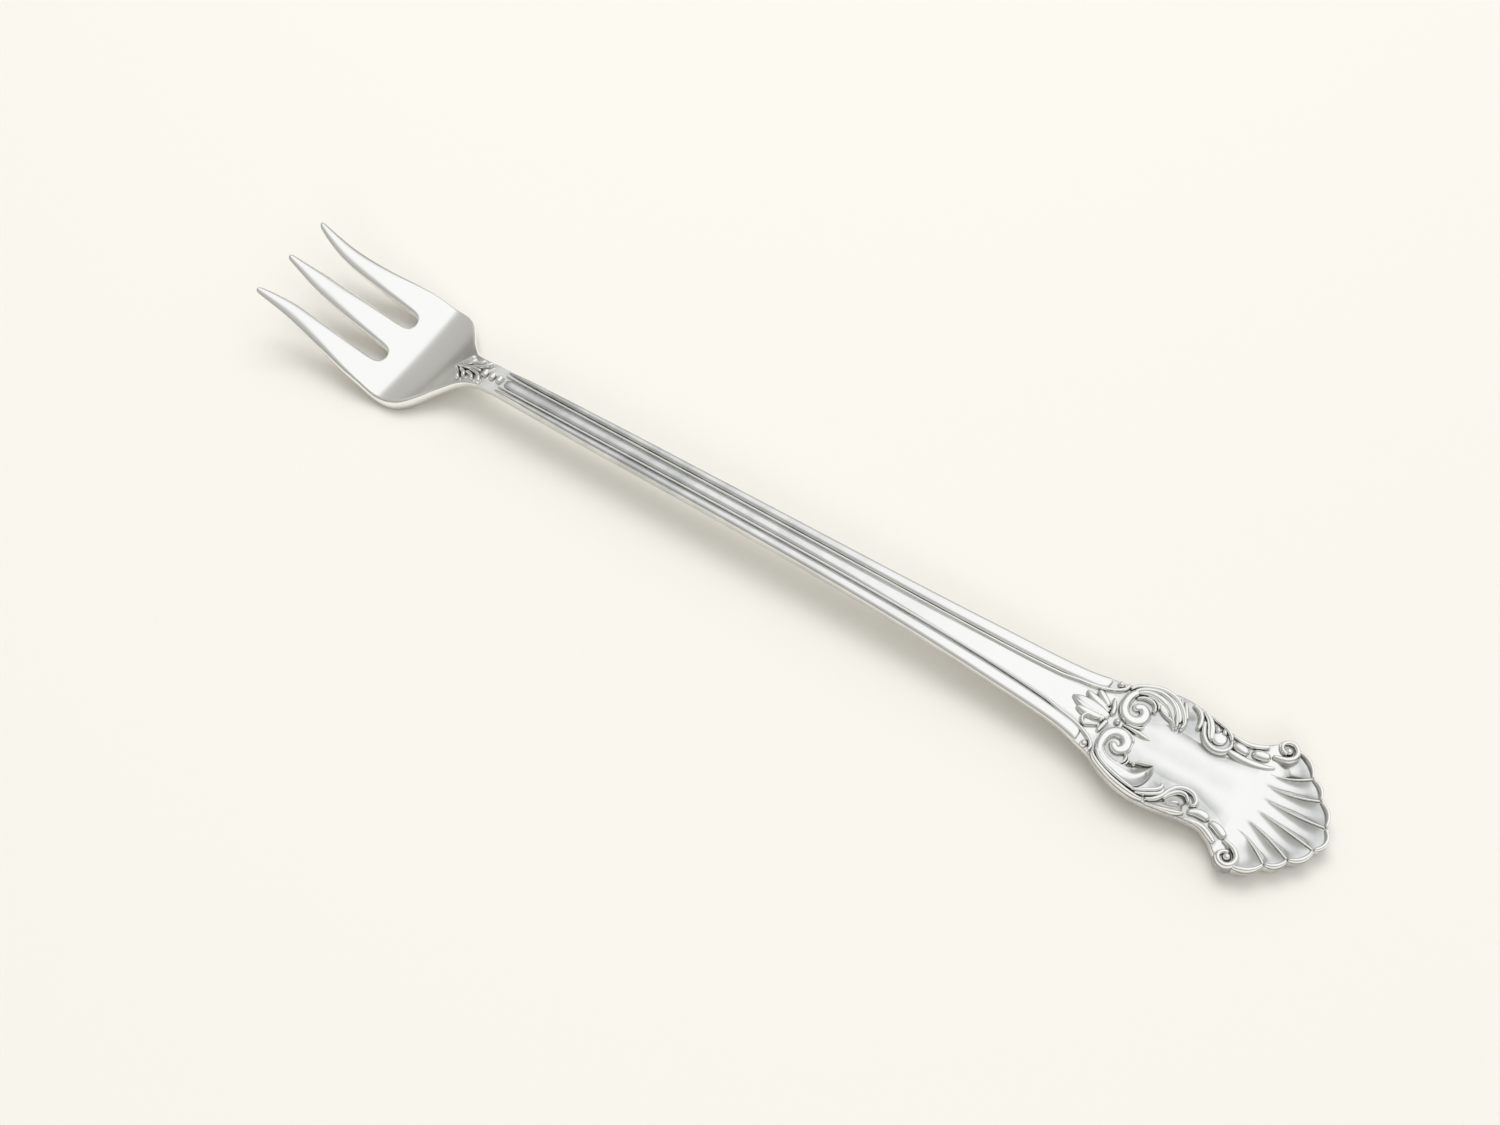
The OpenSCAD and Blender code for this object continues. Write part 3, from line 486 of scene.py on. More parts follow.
def handleSection(u, column):
    half = handleHalf(u)
    plate = 1 - easedPast(terminalL, giving["plate"], u)  # 1 on the flat plate, 0 on the round stem
    v = mixed(spreadColumns(column, "stem"), spreadColumns(column, "plate"), plate)
    y = v * half
    if u < shellL + giving["fan"]:
        fan = footAcross(column) / handleHalf(shellL)
        y = half * mixed(fan, v, eased(shellL, shellL + giving["fan"], u))
    thick = body["plateT"] if u <= handleL else mixed(body["plateT"], body["stemT"], (u - handleL) / stemL)
    share = mixed(1.0, edge["plateShare"], 1 - easedPast(terminalL, giving["edge"], u))
    reach, power = mixed(half, edge["lowReach"], plate), mixed(edge["backPower"], edge["power"], plate)
    return u, y, half - abs(y), 0.0, (thick, share, edge["topReach"], edge["power"], reach, power)


def headSection(kind, at, column):  # u is the distance from the tips here
    u = at
    y, zone, c = headAcross(u, column)
    if kind == "root" and zone in (1, 3):  # rows run round the slots' ends
        u += slotR * math.sqrt(max(0, 1 - c * c)) * (rootEnd - at) / (rootEnd - splitD)
        y = math.copysign(slotY, y) - slotR * c
    half = curveAt(headHalf, u)
    if u > rootEnd:
        like = eased(*passing["round"], u)  # more and more as on the stem
        y = mixed(y / curveAt(headHalf, rootEnd), spreadColumns(column, "stem"), like) * half
    top, thick = curveAt(headTop, u), curveAt(headThick, u)
    thick = min(thick, top)
    reach = edge["headReach"]
    if u < splitD:
        edges = tineSides(u)
        wide = abs(edges[zone + 1] - edges[zone]) / 2
        centre = (edges[zone + 1] + edges[zone]) / 2
        distance = wide - abs(y - centre)
        reach = mixed(wide, reach, eased(*edge["tineReach"], u / splitD))
        tipRound = roundEnd(u / edge["tipReach"])
        y = centre + (y - centre) * tipRound
        thickNow = thick * mixed(edge["tipShare"], 1, tipRound) if tipRound < 1 else thick
        top -= (thick - thickNow) / 2
        thick = thickNow
    else:
        distance = min(half - abs(y), max(0, math.hypot(u - splitD, abs(y) - slotY) - slotR))
    dish = eased(*passing["dish"], u) * (1 - eased(*passing["heel"], u))
    top -= body["cup"] * dish * max(0, 1 - (y / half) ** 2)
    neck = eased(*passing["neck"], u)
    power = mixed(edge["tinePower"], edge["power"], eased(*passing["tines"], u))
    return u, y, distance, top, (thick, mixed(edge["headShare"], 1.0, neck),
                                 mixed(reach, edge["topReach"], neck), power,
                                 mixed(reach, half, neck), mixed(edge["power"], edge["backPower"], neck))


def bodyPoint(row, column, lower):  # place, and tarnish with painted shade, of one point of the top or the back
    kind, at = row
    if kind == "shell":
        u, y, distance, top, form = shellSection(at, column)
    elif kind == "handle":
        u, y, distance, top, form = handleSection(at, column)
    else:
        u, y, distance, top, form = headSection(kind, at, column)
    distance = distance if distance > 1e-6 else 0.0
    thick, share, topReach, topPower, lowReach, lowPower = form
    if lower:
        w = -thick * (1 - share) - thick * share * rounded(distance, lowReach, lowPower)
        # the side walls are painted darker near the edge: painted shade, the shadowed cloth mirrored there
        shadeAndTarnish = edge["shadeAndTarnish"] * (1 - eased(*edge["shadeSpan"], distance))
    else:
        w = -thick * (1 - share) * (1 - rounded(distance, topReach, topPower))
        shadeAndTarnish = 0.0
    if kind in ("head", "root"):
        return Vector((tipX - u, y, max(0.0, top + w))) * mm, shadeAndTarnish * edge["headSideShade"]
    if not lower:
        w += topRelief(kind, at, u, y, column)
        shadeAndTarnish = topShadeAndTarnish(kind, at, u, y)
    return onHandle(u, y, w), shadeAndTarnish


def hollowAt(u, y):
    core = field["hollowCore"]
    return max(1 - eased(r * core, r, math.hypot(u - a, y - b)) for a, b, r in field["hollows"])


def topRelief(kind, at, u, y, column):
    half = curveAt(field["half"], u) if u > shellL else mixed(*field["shellHalf"], (shellL - u) / shellL)
    dome = 0.0
    if u < terminalL:
        dome = curveAt(field["rise"], u) * max(0.0, 1 - abs(y / half) ** field["power"])
    if u < terminalL and kind == "handle":
        dome -= field["hollowDepth"] * hollowAt(u, y) * eased(*field["hollowRim"], handleHalf(u) - abs(y))
    if kind == "shell":
        dome *= 1 - at
    if kind != "shell" or onShoulder(column):
        return dome
    index, s = fluteAt(column)
    start = flute["lateStart"] if index in (0, len(valleys) - 2) else 0.0
    scoop = flute["depth"] * eased(start - flute["lead"], flute["full"], at)
    scoop *= 1 - flute["fade"] * eased(*flute["fadeSpan"], at)
    scoop *= 1 - eased(*flute["lipSpan"], at)
    return dome - scoop * (4 * s * (1 - s)) ** mixed(*flute["cross"], eased(*flute["crossSpan"], at) ** 0.5)


# tarnish and painted shade on the top, by place
def topShadeAndTarnish(kind, at, u, y):
    if u > terminalL:
        beside = 1.0
        if u < handleL + groove["plainAfter"]:
            beside = eased(*groove["span"], abs(y) - curveAt(filletY, u))
        # darker just past the plate's end
        nearEnd = 1 - eased(terminalL, terminalL + groove["endReach"], u)
        return max(groove["shadeAndTarnish"] * beside, groove["endDark"] * nearEnd)
    if kind == "shell":
        # the flutes darken towards the lip: painted shade
        low, more = flute["shadeAndTarnish"]
        return low + more * eased(*flute["shadeSpan"], at)
    half = curveAt(field["half"], u)
    # darker towards the field's borders and at its foot: painted shade
    beside = field["clean"] + field["borderShade"] * eased(half * field["sideFrom"], half, abs(y))
    beside += field["footShade"] * easedPast(half, field["footSpan"], abs(y))
    # darker along the field's middle: a painted dim reflection
    dimReflection = field["dimReflection"] * (1 - eased(*field["dimReflectionSpan"], abs(y)))
    dimReflection *= easedPast(shellL, field["dimReflectionPast"], u)
    # darker in the hollows between the scrolls: painted shade
    return max(beside + dimReflection, field["hollowShade"] * hollowAt(u, y))


def buildBody():  # a grid for the top and one for the back, joined along the edges
    rows = bodyRows(body)
    bm = bmesh.new()
    tarnishShadeLayer = bm.verts.layers.float.new("tarnishAndShade")
    slots = (body["tineColumns"], columns - body["tineColumns"] - body["slotColumns"])
    for lower in (False, True):
        place = {}

        def where(i, j, v):
            spot, v[tarnishShadeLayer] = bodyPoint(rows[j], i, lower)
            place[v] = (i, j)
            return spot

        made = movedGrid(bm, columns, len(rows) - 1, where)
        openFaces = []
        for face in set(f for v in made for f in v.link_faces):
            i = min(place[v][0] for v in face.verts)
            j = min(place[v][1] for v in face.verts)
            if j < body["tineRows"] and any(a <= i < a + body["slotColumns"] for a in slots):
                openFaces.append(face)
        bmesh.ops.delete(bm, geom=openFaces, context="FACES")
    finishPiece("forkBody", bm, ["left_tine", "middle_tine", "right_tine", "bowl", "neck", "stem", "flare",
                                 "cartouche", "shell"], "polished_silver")


buildBody()


# strokes: raised forms swept along a line on the handle
# a top gives the height across it, from -1 to 1, at a share s of its length

def roundTop(a, s=0.5):
    return math.sqrt(max(0.0, 1 - abs(a) ** 2.5))


def flatTop(a, s=0.5):
    return (1 - a ** 6) ** 0.5


def dishedTop(a, s=0.5):  # a high rim on the outer side, hollowed towards the inner one
    crest = -0.62
    if a < crest:
        return roundTop((a - crest) / (1 + crest))
    t = (a - crest) / (1 - crest)
    return (1 - 0.62 * t ** 0.8) * (1 - t ** 8) ** 0.5


# fine grooves, each with its place across and its width, and how deep they are
veins = {"leaf": ((0.38, 0.1), (-0.3, 0.1)), "leafDepth": 0.2, "fold": ((0.3, 0.09), (0.65, 0.08)),
         "foldDepth": 0.16, "foldFade": (0.7, 0.95), "foldFrom": (0.45, 0.75)}


def veinsAt(a, places):
    return sum(math.exp(-((a - place) / wide) ** 2) for place, wide in places)


def veinedTop(a, s=0.5):  # a leaf with two fine grooves along it
    return roundTop(a) * (1 - veins["leafDepth"] * veinsAt(a, veins["leaf"]))


def foldedTop(a, s=0.5):  # veined at first, then folded over a sharp crest
    crest = -0.15
    side = (a + 1) / (crest + 1) if a < crest else (1 - a) / (1 - crest)
    fold = 0.3 + 0.7 * side ** 1.15 if abs(a) < 1 else 0.0
    fold *= 1 - veins["foldDepth"] * veinsAt(a, veins["fold"]) * (1 - eased(*veins["foldFade"], s))
    return mixed(veinedTop(a), fold * roundTop(a) ** 0.4, eased(*veins["foldFrom"], s))


# each stroke's low flanks, veins and foot are darkened: patina there, with painted shade
stroke = {"steps": 8, "ringGap": 0.11, "fewest": 8, "look": 0.02, "across": 14, "skirt": 0.07,
          "lift": 0.012, "sink": 0.3, "inset": 0.02, "soil": 0.82, "broader": 1.12, "taller": 1.12,
          "cleanRise": 0.4, "veinGain": 1.6, "veinFrom": 0.1}
bead = {"around": 28, "along": 16, "shadeSpan": (-0.1, 0.45)}


def sampleLine(line, run, s):  # the line's values at length s, where run holds the length at each point
    k = 0
    while k + 2 < len(run) and s > run[k + 1]:
        k += 1
    t = clamp((s - run[k]) / max(run[k + 1] - run[k], 1e-9))
    return [mixed(p, q, t) for p, q in zip(line[k], line[k + 1])]


def strokeRings(line):  # for each ring: place, direction across, half width, height, rounding, share
    run = [0.0]
    for a, b in zip(line, line[1:]):
        run.append(run[-1] + math.hypot(b[0] - a[0], b[1] - a[1]))
    length = run[-1]
    startR, endR = (max(p[2] / 2, 1e-6) for p in (line[0], line[-1]))
    count = max(stroke["fewest"], round(length / stroke["ringGap"]))
    rings = []
    for k in range(count + 1):
        s = length * (1 - math.cos(math.pi * k / count)) / 2
        u, y, wide, high = sampleLine(line, run, s)
        ahead = sampleLine(line, run, min(length, s + stroke["look"]))
        behind = sampleLine(line, run, max(0, s - stroke["look"]))
        dx, dy = ahead[0] - behind[0], ahead[1] - behind[1]
        n = math.hypot(dx, dy) or 1.0
        close = roundEnd(s / startR) * roundEnd((length - s) / endR)
        rings.append((u, y, -dy / n, dx / n, wide / 2 * close * stroke["broader"],
                      high * close * stroke["taller"], close, s / length))
    return rings


def strokeInto(bm, tarnishShadeLayer, entry):
    side, place, top = entry.get("side", 1), entry.get("place", onHandle), entry.get("top", roundTop)
    skirt, soil, sink = (entry.get(key, stroke[key]) for key in ("skirt", "soil", "sink"))
    points = [(p[0], side * p[1], p[2], p[3]) for p in entry["line"]]
    rings = strokeRings(lineThrough(points, stroke["steps"]))
    m = stroke["across"]

    def where(i, j, v):
        u, y, nu, ny, half, high, close, s = rings[j]
        i %= m + 5
        if i <= m:
            a = -math.cos(math.pi * i / m)
            rise = top(a * side, s)
            offset, w = a * half, stroke["lift"] + (high - stroke["lift"]) * rise * (close > 0)
            # veins, low flanks and the foot below are darker: patina with painted shade
            below = (roundTop(a) - rise) * stroke["veinGain"] - stroke["veinFrom"]
            v[tarnishShadeLayer] = soil * max(clamp(1 - rise / stroke["cleanRise"]), clamp(below))
        else:
            outer = 1 if i in (m + 1, m + 2) else -1
            offset = (half + skirt * close) * outer
            w = stroke["lift"] * 0.5 if i in (m + 1, m + 4) else -sink
            v[tarnishShadeLayer] = soil
        u, y = u + nu * offset, y + ny * offset
        if place is onHandle and shellL < u < stemEnd:
            y = math.copysign(min(abs(y), handleHalf(u) - stroke["inset"]), y)
        return place(u, y, w)

    movedGrid(bm, m + 5, len(rings) - 1, where)


def beadInto(bm, tarnishShadeLayer, u, y, wide, high):
    made = bmesh.ops.create_uvsphere(bm, u_segments=bead["around"], v_segments=bead["along"], radius=1)
    for v in made["verts"]:
        x, across, up = v.co
        # a bead is painted darker on its lower part and lighter on top: painted shade
        v[tarnishShadeLayer] = 1 - eased(*bead["shadeSpan"], up)
        w = high * up if up > 0 else stroke["sink"] * up
        v.co = onHandle(u + x * wide / 2, y + across * wide / 2, w)


def strokePiece(name, node, strokes):
    bm = bmesh.new()
    tarnishShadeLayer = bm.verts.layers.float.new("tarnishAndShade")
    for entry in strokes:
        if "bead" in entry:
            beadInto(bm, tarnishShadeLayer, *entry["bead"])
        else:
            strokeInto(bm, tarnishShadeLayer, entry)
    finishPiece(name, bm, [node], "struck_silver")


def strokesOf(lines, side=1, tops=None, **extra):  # a line of one point is a bead
    entries = []
    for key, line in lines.items():
        if len(line) > 1:
            entries.append(dict(extra, line=line, side=side, top=(tops or {}).get(key, roundTop)))
        else:
            entries.append({"bead": (line[0][0], side * line[0][1], *line[0][2:])})
    return entries


def carve(name, node, lines, side=1, tops=None, **extra):
    strokePiece(name, node, strokesOf(lines, side, tops, **extra))


# volutes beside the pearl, from the eye outwards: u, y, width and height
volute = {
    "band": [(25.73, 2.33, 1.0, 0.56), (25.63, 2.89, 0.95, 0.56), (25.05, 3.13, 1.05, 0.58),
             (24.49, 2.57, 1.2, 0.6), (24.55, 1.67, 1.27, 0.63), (25.31, 1.08, 1.27, 0.65),
             (26.29, 1.23, 1.2, 0.65), (26.92, 1.99, 1.1, 0.65), (27.07, 3, 1.02, 0.65),
             (26.89, 3.96, 0.95, 0.62), (26.37, 4.79, 0.77, 0.56)],
}
for sideName, side in sides:
    carve(sideName + "Volute", sideName + "_volute", volute, side)


# broad scroll on the right, with its curl and fingers
rightScroll = {
    "bed": [(26.9, 4.62, 0.3, 0.3), (25.8, 5.4, 1.2, 0.34), (24.47, 5.67, 2, 0.36), (22.87, 5.27, 2.4, 0.36),
            (21.67, 4.47, 1.87, 0.36), (21, 3.53, 1.07, 0.3)],
    "edge": [(27.43, 4.52, 0.37, 0.42), (26.95, 5.28, 0.51, 0.52), (25.97, 5.89, 0.61, 0.58),
             (24.77, 6.42, 0.64, 0.6), (23.57, 6.61, 0.64, 0.6), (22.43, 6.38, 0.61, 0.6),
             (21.49, 5.81, 0.59, 0.6), (20.73, 4.98, 0.53, 0.62), (20.21, 4.02, 0.51, 0.64),
             (20.29, 3.09, 0.37, 0.62)],
    "rib": [(26.97, 4.13, 0.45, 0.5), (26.49, 4.97, 0.53, 0.6), (25.53, 5.61, 0.59, 0.64),
            (24.33, 6.01, 0.61, 0.66), (23.16, 5.88, 0.61, 0.66), (22.23, 5.37, 0.59, 0.66),
            (21.53, 4.65, 0.56, 0.68), (21.03, 3.73, 0.51, 0.7), (20.76, 2.96, 0.35, 0.64)],
    "leaf": [(26.75, 4.3, 0.22, 0.4), (26.33, 4.62, 0.4, 0.5), (25.53, 5.13, 0.69, 0.58),
             (24.47, 5.32, 0.83, 0.62), (23.4, 5.13, 0.83, 0.62), (22.47, 4.6, 0.69, 0.6),
             (21.73, 3.87, 0.59, 0.6), (21.2, 3.13, 0.45, 0.58), (20.93, 2.77, 0.27, 0.5)],
    "lip": [(23.67, 4.73, 0.27, 0.34), (23.2, 4.13, 0.4, 0.46), (22.47, 3.76, 0.45, 0.5),
            (21.67, 3.53, 0.4, 0.54), (21.09, 2.97, 0.27, 0.52)],
    "curl": [(26.29, 3.87, 0.27, 0.4), (25.6, 4.37, 0.4, 0.54), (24.73, 4.48, 0.45, 0.58),
             (24.13, 4.2, 0.45, 0.58), (23.83, 3.67, 0.43, 0.6), (23.8, 3.19, 0.56, 0.6)],
    "inner": [(25.4, 4.71, 0.24, 0.4), (24.47, 4.84, 0.35, 0.52), (23.8, 4.47, 0.35, 0.56),
              (23.51, 3.91, 0.29, 0.54)],
    "finger": [(21.43, 6.76, 0.4, 0.4), (21.07, 6.09, 0.56, 0.56), (20.6, 5.27, 0.56, 0.62),
               (20.17, 4.52, 0.45, 0.62)],
    "rim": [(21.96, 6.76, 0.29, 0.4), (21.45, 5.93, 0.37, 0.52), (20.93, 5.24, 0.32, 0.58),
            (20.49, 4.44, 0.24, 0.56)],
    "hook": [(20.53, 6.84, 0.45, 0.4), (19.63, 6.57, 0.61, 0.54), (19, 5.93, 0.64, 0.6),
             (18.71, 5.13, 0.59, 0.62), (18.65, 4.17, 0.45, 0.62)],
}
carve("rightScroll", "right_scroll", rightScroll, -1, {"bed": flatTop, "leaf": veinedTop})

# cup-shaped curl on the right
rightCup = {
    "cup": [(18.43, 5.77, 0.45, 0.42), (18.12, 4.87, 0.59, 0.56), (17.73, 4.04, 0.64, 0.62),
            (17.07, 3.36, 0.67, 0.66), (16.13, 3.03, 0.69, 0.68), (15.2, 3.27, 0.67, 0.66),
            (14.61, 3.93, 0.59, 0.62), (14.52, 4.6, 0.43, 0.56), (14.73, 5.29, 0.29, 0.46)],
    "leaf": [(19.13, 6.76, 0.4, 0.42), (18.2, 6.31, 0.75, 0.52), (17.53, 5.53, 0.93, 0.58),
             (17.16, 4.73, 0.93, 0.56), (16.8, 3.91, 0.59, 0.46)],
    "ball": [(16.1, 4.85, 1.9, 0.4)],
    "inner": [(17.0, 5.95, 0.4, 0.46), (16.68, 5.55, 0.56, 0.6), (16.42, 5.1, 0.6, 0.6)],
    "outer": [(16.2, 6.05, 0.4, 0.44), (15.92, 5.7, 0.54, 0.58), (15.7, 5.25, 0.56, 0.58)],
    "edge": [(17.83, 6.61, 0.35, 0.4), (16.9, 6.45, 0.48, 0.5), (15.9, 6.24, 0.53, 0.54),
             (15.09, 5.72, 0.51, 0.54), (14.69, 5.09, 0.32, 0.5)],
}
carve("rightCup", "right_cup", rightCup, -1, {"leaf": veinedTop})

# broad scroll on the left, with its folded finger
leftScroll = {
    "edge": [(27.43, 4.78, 0.35, 0.42), (26.9, 5.31, 0.48, 0.52), (26.09, 5.82, 0.56, 0.58),
             (24.9, 6.31, 0.59, 0.6), (23.7, 6.66, 0.59, 0.6), (22.37, 6.91, 0.56, 0.6),
             (21.01, 7.04, 0.48, 0.56), (19.77, 6.96, 0.29, 0.46)],
    "rib": [(27.19, 4.07, 0.4, 0.5), (26.73, 4.73, 0.51, 0.6), (25.93, 5.33, 0.56, 0.64),
            (24.87, 5.75, 0.56, 0.64), (23.67, 6.07, 0.51, 0.64), (22.33, 6.31, 0.45, 0.6),
            (21.13, 6.39, 0.32, 0.5)],
    "leaf": [(26.97, 3.47, 0.67, 0.5), (26.44, 4.33, 1.01, 0.6), (25.53, 4.93, 1.28, 0.66),
             (24.33, 5.2, 1.49, 0.7), (23.13, 5.29, 2, 0.74), (22.13, 5.11, 2.27, 0.78),
             (21.37, 4.33, 1.87, 0.82), (20.87, 3.47, 1.07, 0.82), (20.57, 2.73, 0.29, 0.7)],
    "fold": [(23.2, 3.77, 0.27, 0.4), (22.33, 3.29, 0.37, 0.56), (21.4, 3, 0.4, 0.7),
             (20.65, 2.71, 0.32, 0.74)],
    "arc": [(24.33, 2.87, 0.24, 0.4), (23.8, 3.33, 0.37, 0.58), (23.69, 3.93, 0.37, 0.6),
            (24.07, 4.53, 0.32, 0.6), (24.76, 4.89, 0.21, 0.54)],
    "inner": [(23.77, 3.03, 0.19, 0.36), (23.35, 3.6, 0.29, 0.5), (23.44, 4.27, 0.29, 0.5),
              (23.99, 4.87, 0.19, 0.44)],
    "bead": [(22.67, 3.64, 0.6, 0.56)],
}
carve("leftScroll", "left_scroll", leftScroll, 1, {"leaf": foldedTop})

# curl on the left, with its finger and leaves
leftCurl = {
    "finger": [(18.84, 3.88, 0.45, 0.58), (18.69, 4.47, 0.56, 0.64), (19.11, 5.07, 0.61, 0.64),
               (19.87, 5.61, 0.59, 0.62), (20.67, 6.15, 0.51, 0.56), (21.53, 6.49, 0.32, 0.46)],
    "rim": [(18.31, 4.33, 0.35, 0.5), (18.49, 5.16, 0.48, 0.58), (19.24, 5.8, 0.51, 0.58),
            (20.17, 6.36, 0.43, 0.54), (21, 6.68, 0.27, 0.42)],
    "curl": [(19.67, 6.73, 0.37, 0.46), (18.76, 6.17, 0.53, 0.58), (18.13, 5.29, 0.59, 0.64),
             (17.8, 4.33, 0.61, 0.66), (17.13, 3.47, 0.67, 0.68), (16.13, 3.07, 0.69, 0.7),
             (15.2, 3.2, 0.67, 0.68), (14.61, 3.83, 0.61, 0.66), (14.67, 4.44, 0.48, 0.62),
             (15.11, 4.55, 0.29, 0.52)],
    "inner": [(17.96, 5.6, 0.35, 0.5), (17.47, 4.6, 0.51, 0.62), (16.8, 3.89, 0.53, 0.64),
              (16, 3.76, 0.51, 0.64), (15.47, 4.2, 0.4, 0.6), (15.33, 4.55, 0.24, 0.52)],
    "heart": [(17.67, 5.83, 0.67, 0.46), (16.93, 5, 1.15, 0.56), (16.17, 4.73, 1.07, 0.54),
              (15.67, 5.07, 0.53, 0.44)],
    "leaf": [(19.27, 6.97, 0.35, 0.4), (18.27, 6.57, 0.69, 0.56), (17.13, 5.99, 1.04, 0.64),
             (16.17, 5.59, 1.07, 0.64), (15.43, 5.37, 0.53, 0.5)],
    "edge": [(19.43, 7.1, 0.27, 0.36), (18.23, 6.94, 0.43, 0.46), (17.03, 6.59, 0.51, 0.5),
             (15.97, 6.22, 0.48, 0.5), (15.1, 5.76, 0.29, 0.42)],
}
carve("leftCurl", "left_curl", leftCurl, 1, {"leaf": dishedTop, "heart": dishedTop})

# long beads and rims between the scrolls and the shell
rightBeadRow = {
    "first": [(14.5, 5.0, 0.8, 0.5), (13.46, 4.9, 1.15, 0.68), (12.35, 4.86, 0.85, 0.52)],
    "second": [(12.2, 5.15, 0.85, 0.5), (11.1, 5.46, 1.2, 0.7), (10.05, 5.84, 0.85, 0.52)],
    "rim": [(14.7, 3.96, 0.5, 0.36), (13.81, 3.86, 0.8, 0.48), (12.56, 3.86, 0.82, 0.5),
            (11.17, 4.08, 0.8, 0.48), (9.99, 4.46, 0.6, 0.42), (9.1, 5.0, 0.3, 0.3)],
    "edge": [(14.96, 5.95, 0.36, 0.36), (13.84, 5.85, 0.58, 0.44), (12.73, 5.96, 0.64, 0.46),
             (11.62, 6.43, 0.64, 0.46), (10.72, 6.96, 0.47, 0.4)],
}
leftBeadRow = {
    "first": [(14.95, 5.45, 0.6, 0.42), (14.08, 4.94, 1.0, 0.6), (13.2, 4.8, 1.15, 0.68),
              (12.35, 5.0, 0.8, 0.52)],
    "second": [(12.3, 5.1, 0.7, 0.46), (11.31, 5.24, 1.1, 0.66), (10.47, 5.6, 1.1, 0.66),
               (9.9, 6.0, 0.7, 0.5)],
    "edge": [(14.96, 6.32, 0.36, 0.36), (13.71, 6.09, 0.58, 0.44), (12.59, 6.09, 0.64, 0.46),
             (11.48, 6.57, 0.64, 0.46), (10.65, 7.07, 0.47, 0.4)],
}
carve("rightBeadRow", "right_bead_row", rightBeadRow, -1)
carve("leftBeadRow", "left_bead_row", leftBeadRow)

# small volutes at the shoulders of the shell, from the eye outwards
endVolute = {
    "eye": [(8.76, 7.72, 1.0, 0.62)],
    "band": [(8.72, 7.36, 0.5, 0.52), (9.03, 7.26, 0.52, 0.55), (9.4, 7.42, 0.54, 0.55),
             (9.66, 7.78, 0.56, 0.55), (9.66, 8.22, 0.6, 0.55), (9.22, 8.68, 0.61, 0.56),
             (8.46, 8.74, 0.64, 0.58), (7.86, 8.16, 0.67, 0.6), (7.81, 7.33, 0.67, 0.62),
             (8.39, 6.63, 0.67, 0.62), (9.22, 6.29, 0.61, 0.58), (10.06, 6.12, 0.47, 0.5)],
}
for sideName, side in sides:  # they reach down past the plate's edge
    carve(sideName + "EndVolute", sideName + "_end_volute", endVolute, side, sink=1.1)

# palmette on the flare
palmette = {
    "keel": [(27.69, 0, 0.67, 0.4), (29, 0, 1.39, 0.62), (30.6, -0.04, 1.65, 0.68), (31.8, -0.13, 1.12, 0.6),
             (32.65, -0.17, 0.19, 0.3)],
    "lobe": [(28.04, -0.47, 0.53, 0.45), (29.11, -0.87, 0.96, 0.6), (30.33, -1.17, 1.07, 0.62),
             (31.11, -1.43, 0.69, 0.54), (31.53, -1.59, 0.21, 0.4)],
    "tip": [(28.36, -1.16, 0.48, 0.45), (29.11, -1.64, 0.88, 0.62), (29.87, -2.09, 0.88, 0.64),
            (30.43, -2.36, 0.45, 0.5)],
    "strap": [(27.64, -0.31, 0.59, 0.5), (27.8, -1.2, 0.59, 0.56), (28.13, -1.93, 0.51, 0.56),
              (28.4, -2.49, 0.29, 0.48)],
    "curl": [(28.04, -1.03, 0.24, 0.5), (28.4, -0.76, 0.32, 0.56), (28.79, -0.97, 0.37, 0.58),
             (28.71, -1.35, 0.37, 0.58)],
    "lowerLobe": [(28.04, 0.41, 0.53, 0.45), (29.13, 0.73, 0.96, 0.6), (30.47, 0.84, 1.04, 0.62),
                  (31.27, 0.84, 0.67, 0.52), (31.64, 0.89, 0.21, 0.4)],
    "lowerLoop": [(28.36, 1.16, 0.37, 0.5), (28.55, 0.68, 0.4, 0.56), (29.37, 0.76, 0.43, 0.6),
                  (30.17, 1.2, 0.45, 0.6), (30.33, 1.83, 0.45, 0.58), (29.85, 2.36, 0.4, 0.52),
                  (29.11, 2.01, 0.37, 0.5), (28.4, 1.59, 0.32, 0.48)],
    "lowerStrap": [(27.72, 0.44, 0.59, 0.5), (27.93, 1.4, 0.56, 0.56), (28.09, 2.39, 0.37, 0.5)],
}
carve("flarePalmette", "palmette", palmette, 1, {"keel": veinedTop}, soil=0.55)

pearl = {"ball": [(26.74, 0.0, 0.86, 0.72)]}
carve("fieldPearl", "pearl", pearl)

plume = {
    "petal": [(26.1, 0, 0.21, 0.4), (25, 0, 0.42, 0.54), (24.0, 0, 0.62, 0.62), (23.2, 0.02, 0.58, 0.54),
              (22.45, 0.04, 0.16, 0.34)],
    "upper": [(25.8, -0.31, 0.19, 0.36), (24.87, -0.4, 0.35, 0.52), (24.07, -0.73, 0.35, 0.5),
              (23.75, -1.11, 0.21, 0.4)],
    "lower": [(26.07, 0.33, 0.19, 0.36), (25.13, 0.55, 0.37, 0.54), (24.33, 0.84, 0.4, 0.54),
              (23.91, 1.4, 0.48, 0.54)],
}
carve("fieldPlume", "plume", plume, soil=0.5)

# ridges between the flutes, and the scalloped lip
ridge = {"start": 0.2, "end": 0.965, "points": 6, "wide": (0.07, 0.28), "high": (0.015, 0.2)}
lip = {"start": 0.02, "end": 0.98, "points": 7, "inset": 0.29, "wide": (0.34, 0.54), "high": (0.3, 0.46)}


def ridgeLine(column):
    line = []
    for k in range(ridge["points"]):
        s = k / (ridge["points"] - 1)
        t = mixed(ridge["start"], ridge["end"], s)
        p = shellPlace(column, t)
        crest = topRelief("shell", t, p.x, p.y, column)
        line.append((p.x, p.y, mixed(*ridge["wide"], s), crest + mixed(*ridge["high"], s)))
    return line


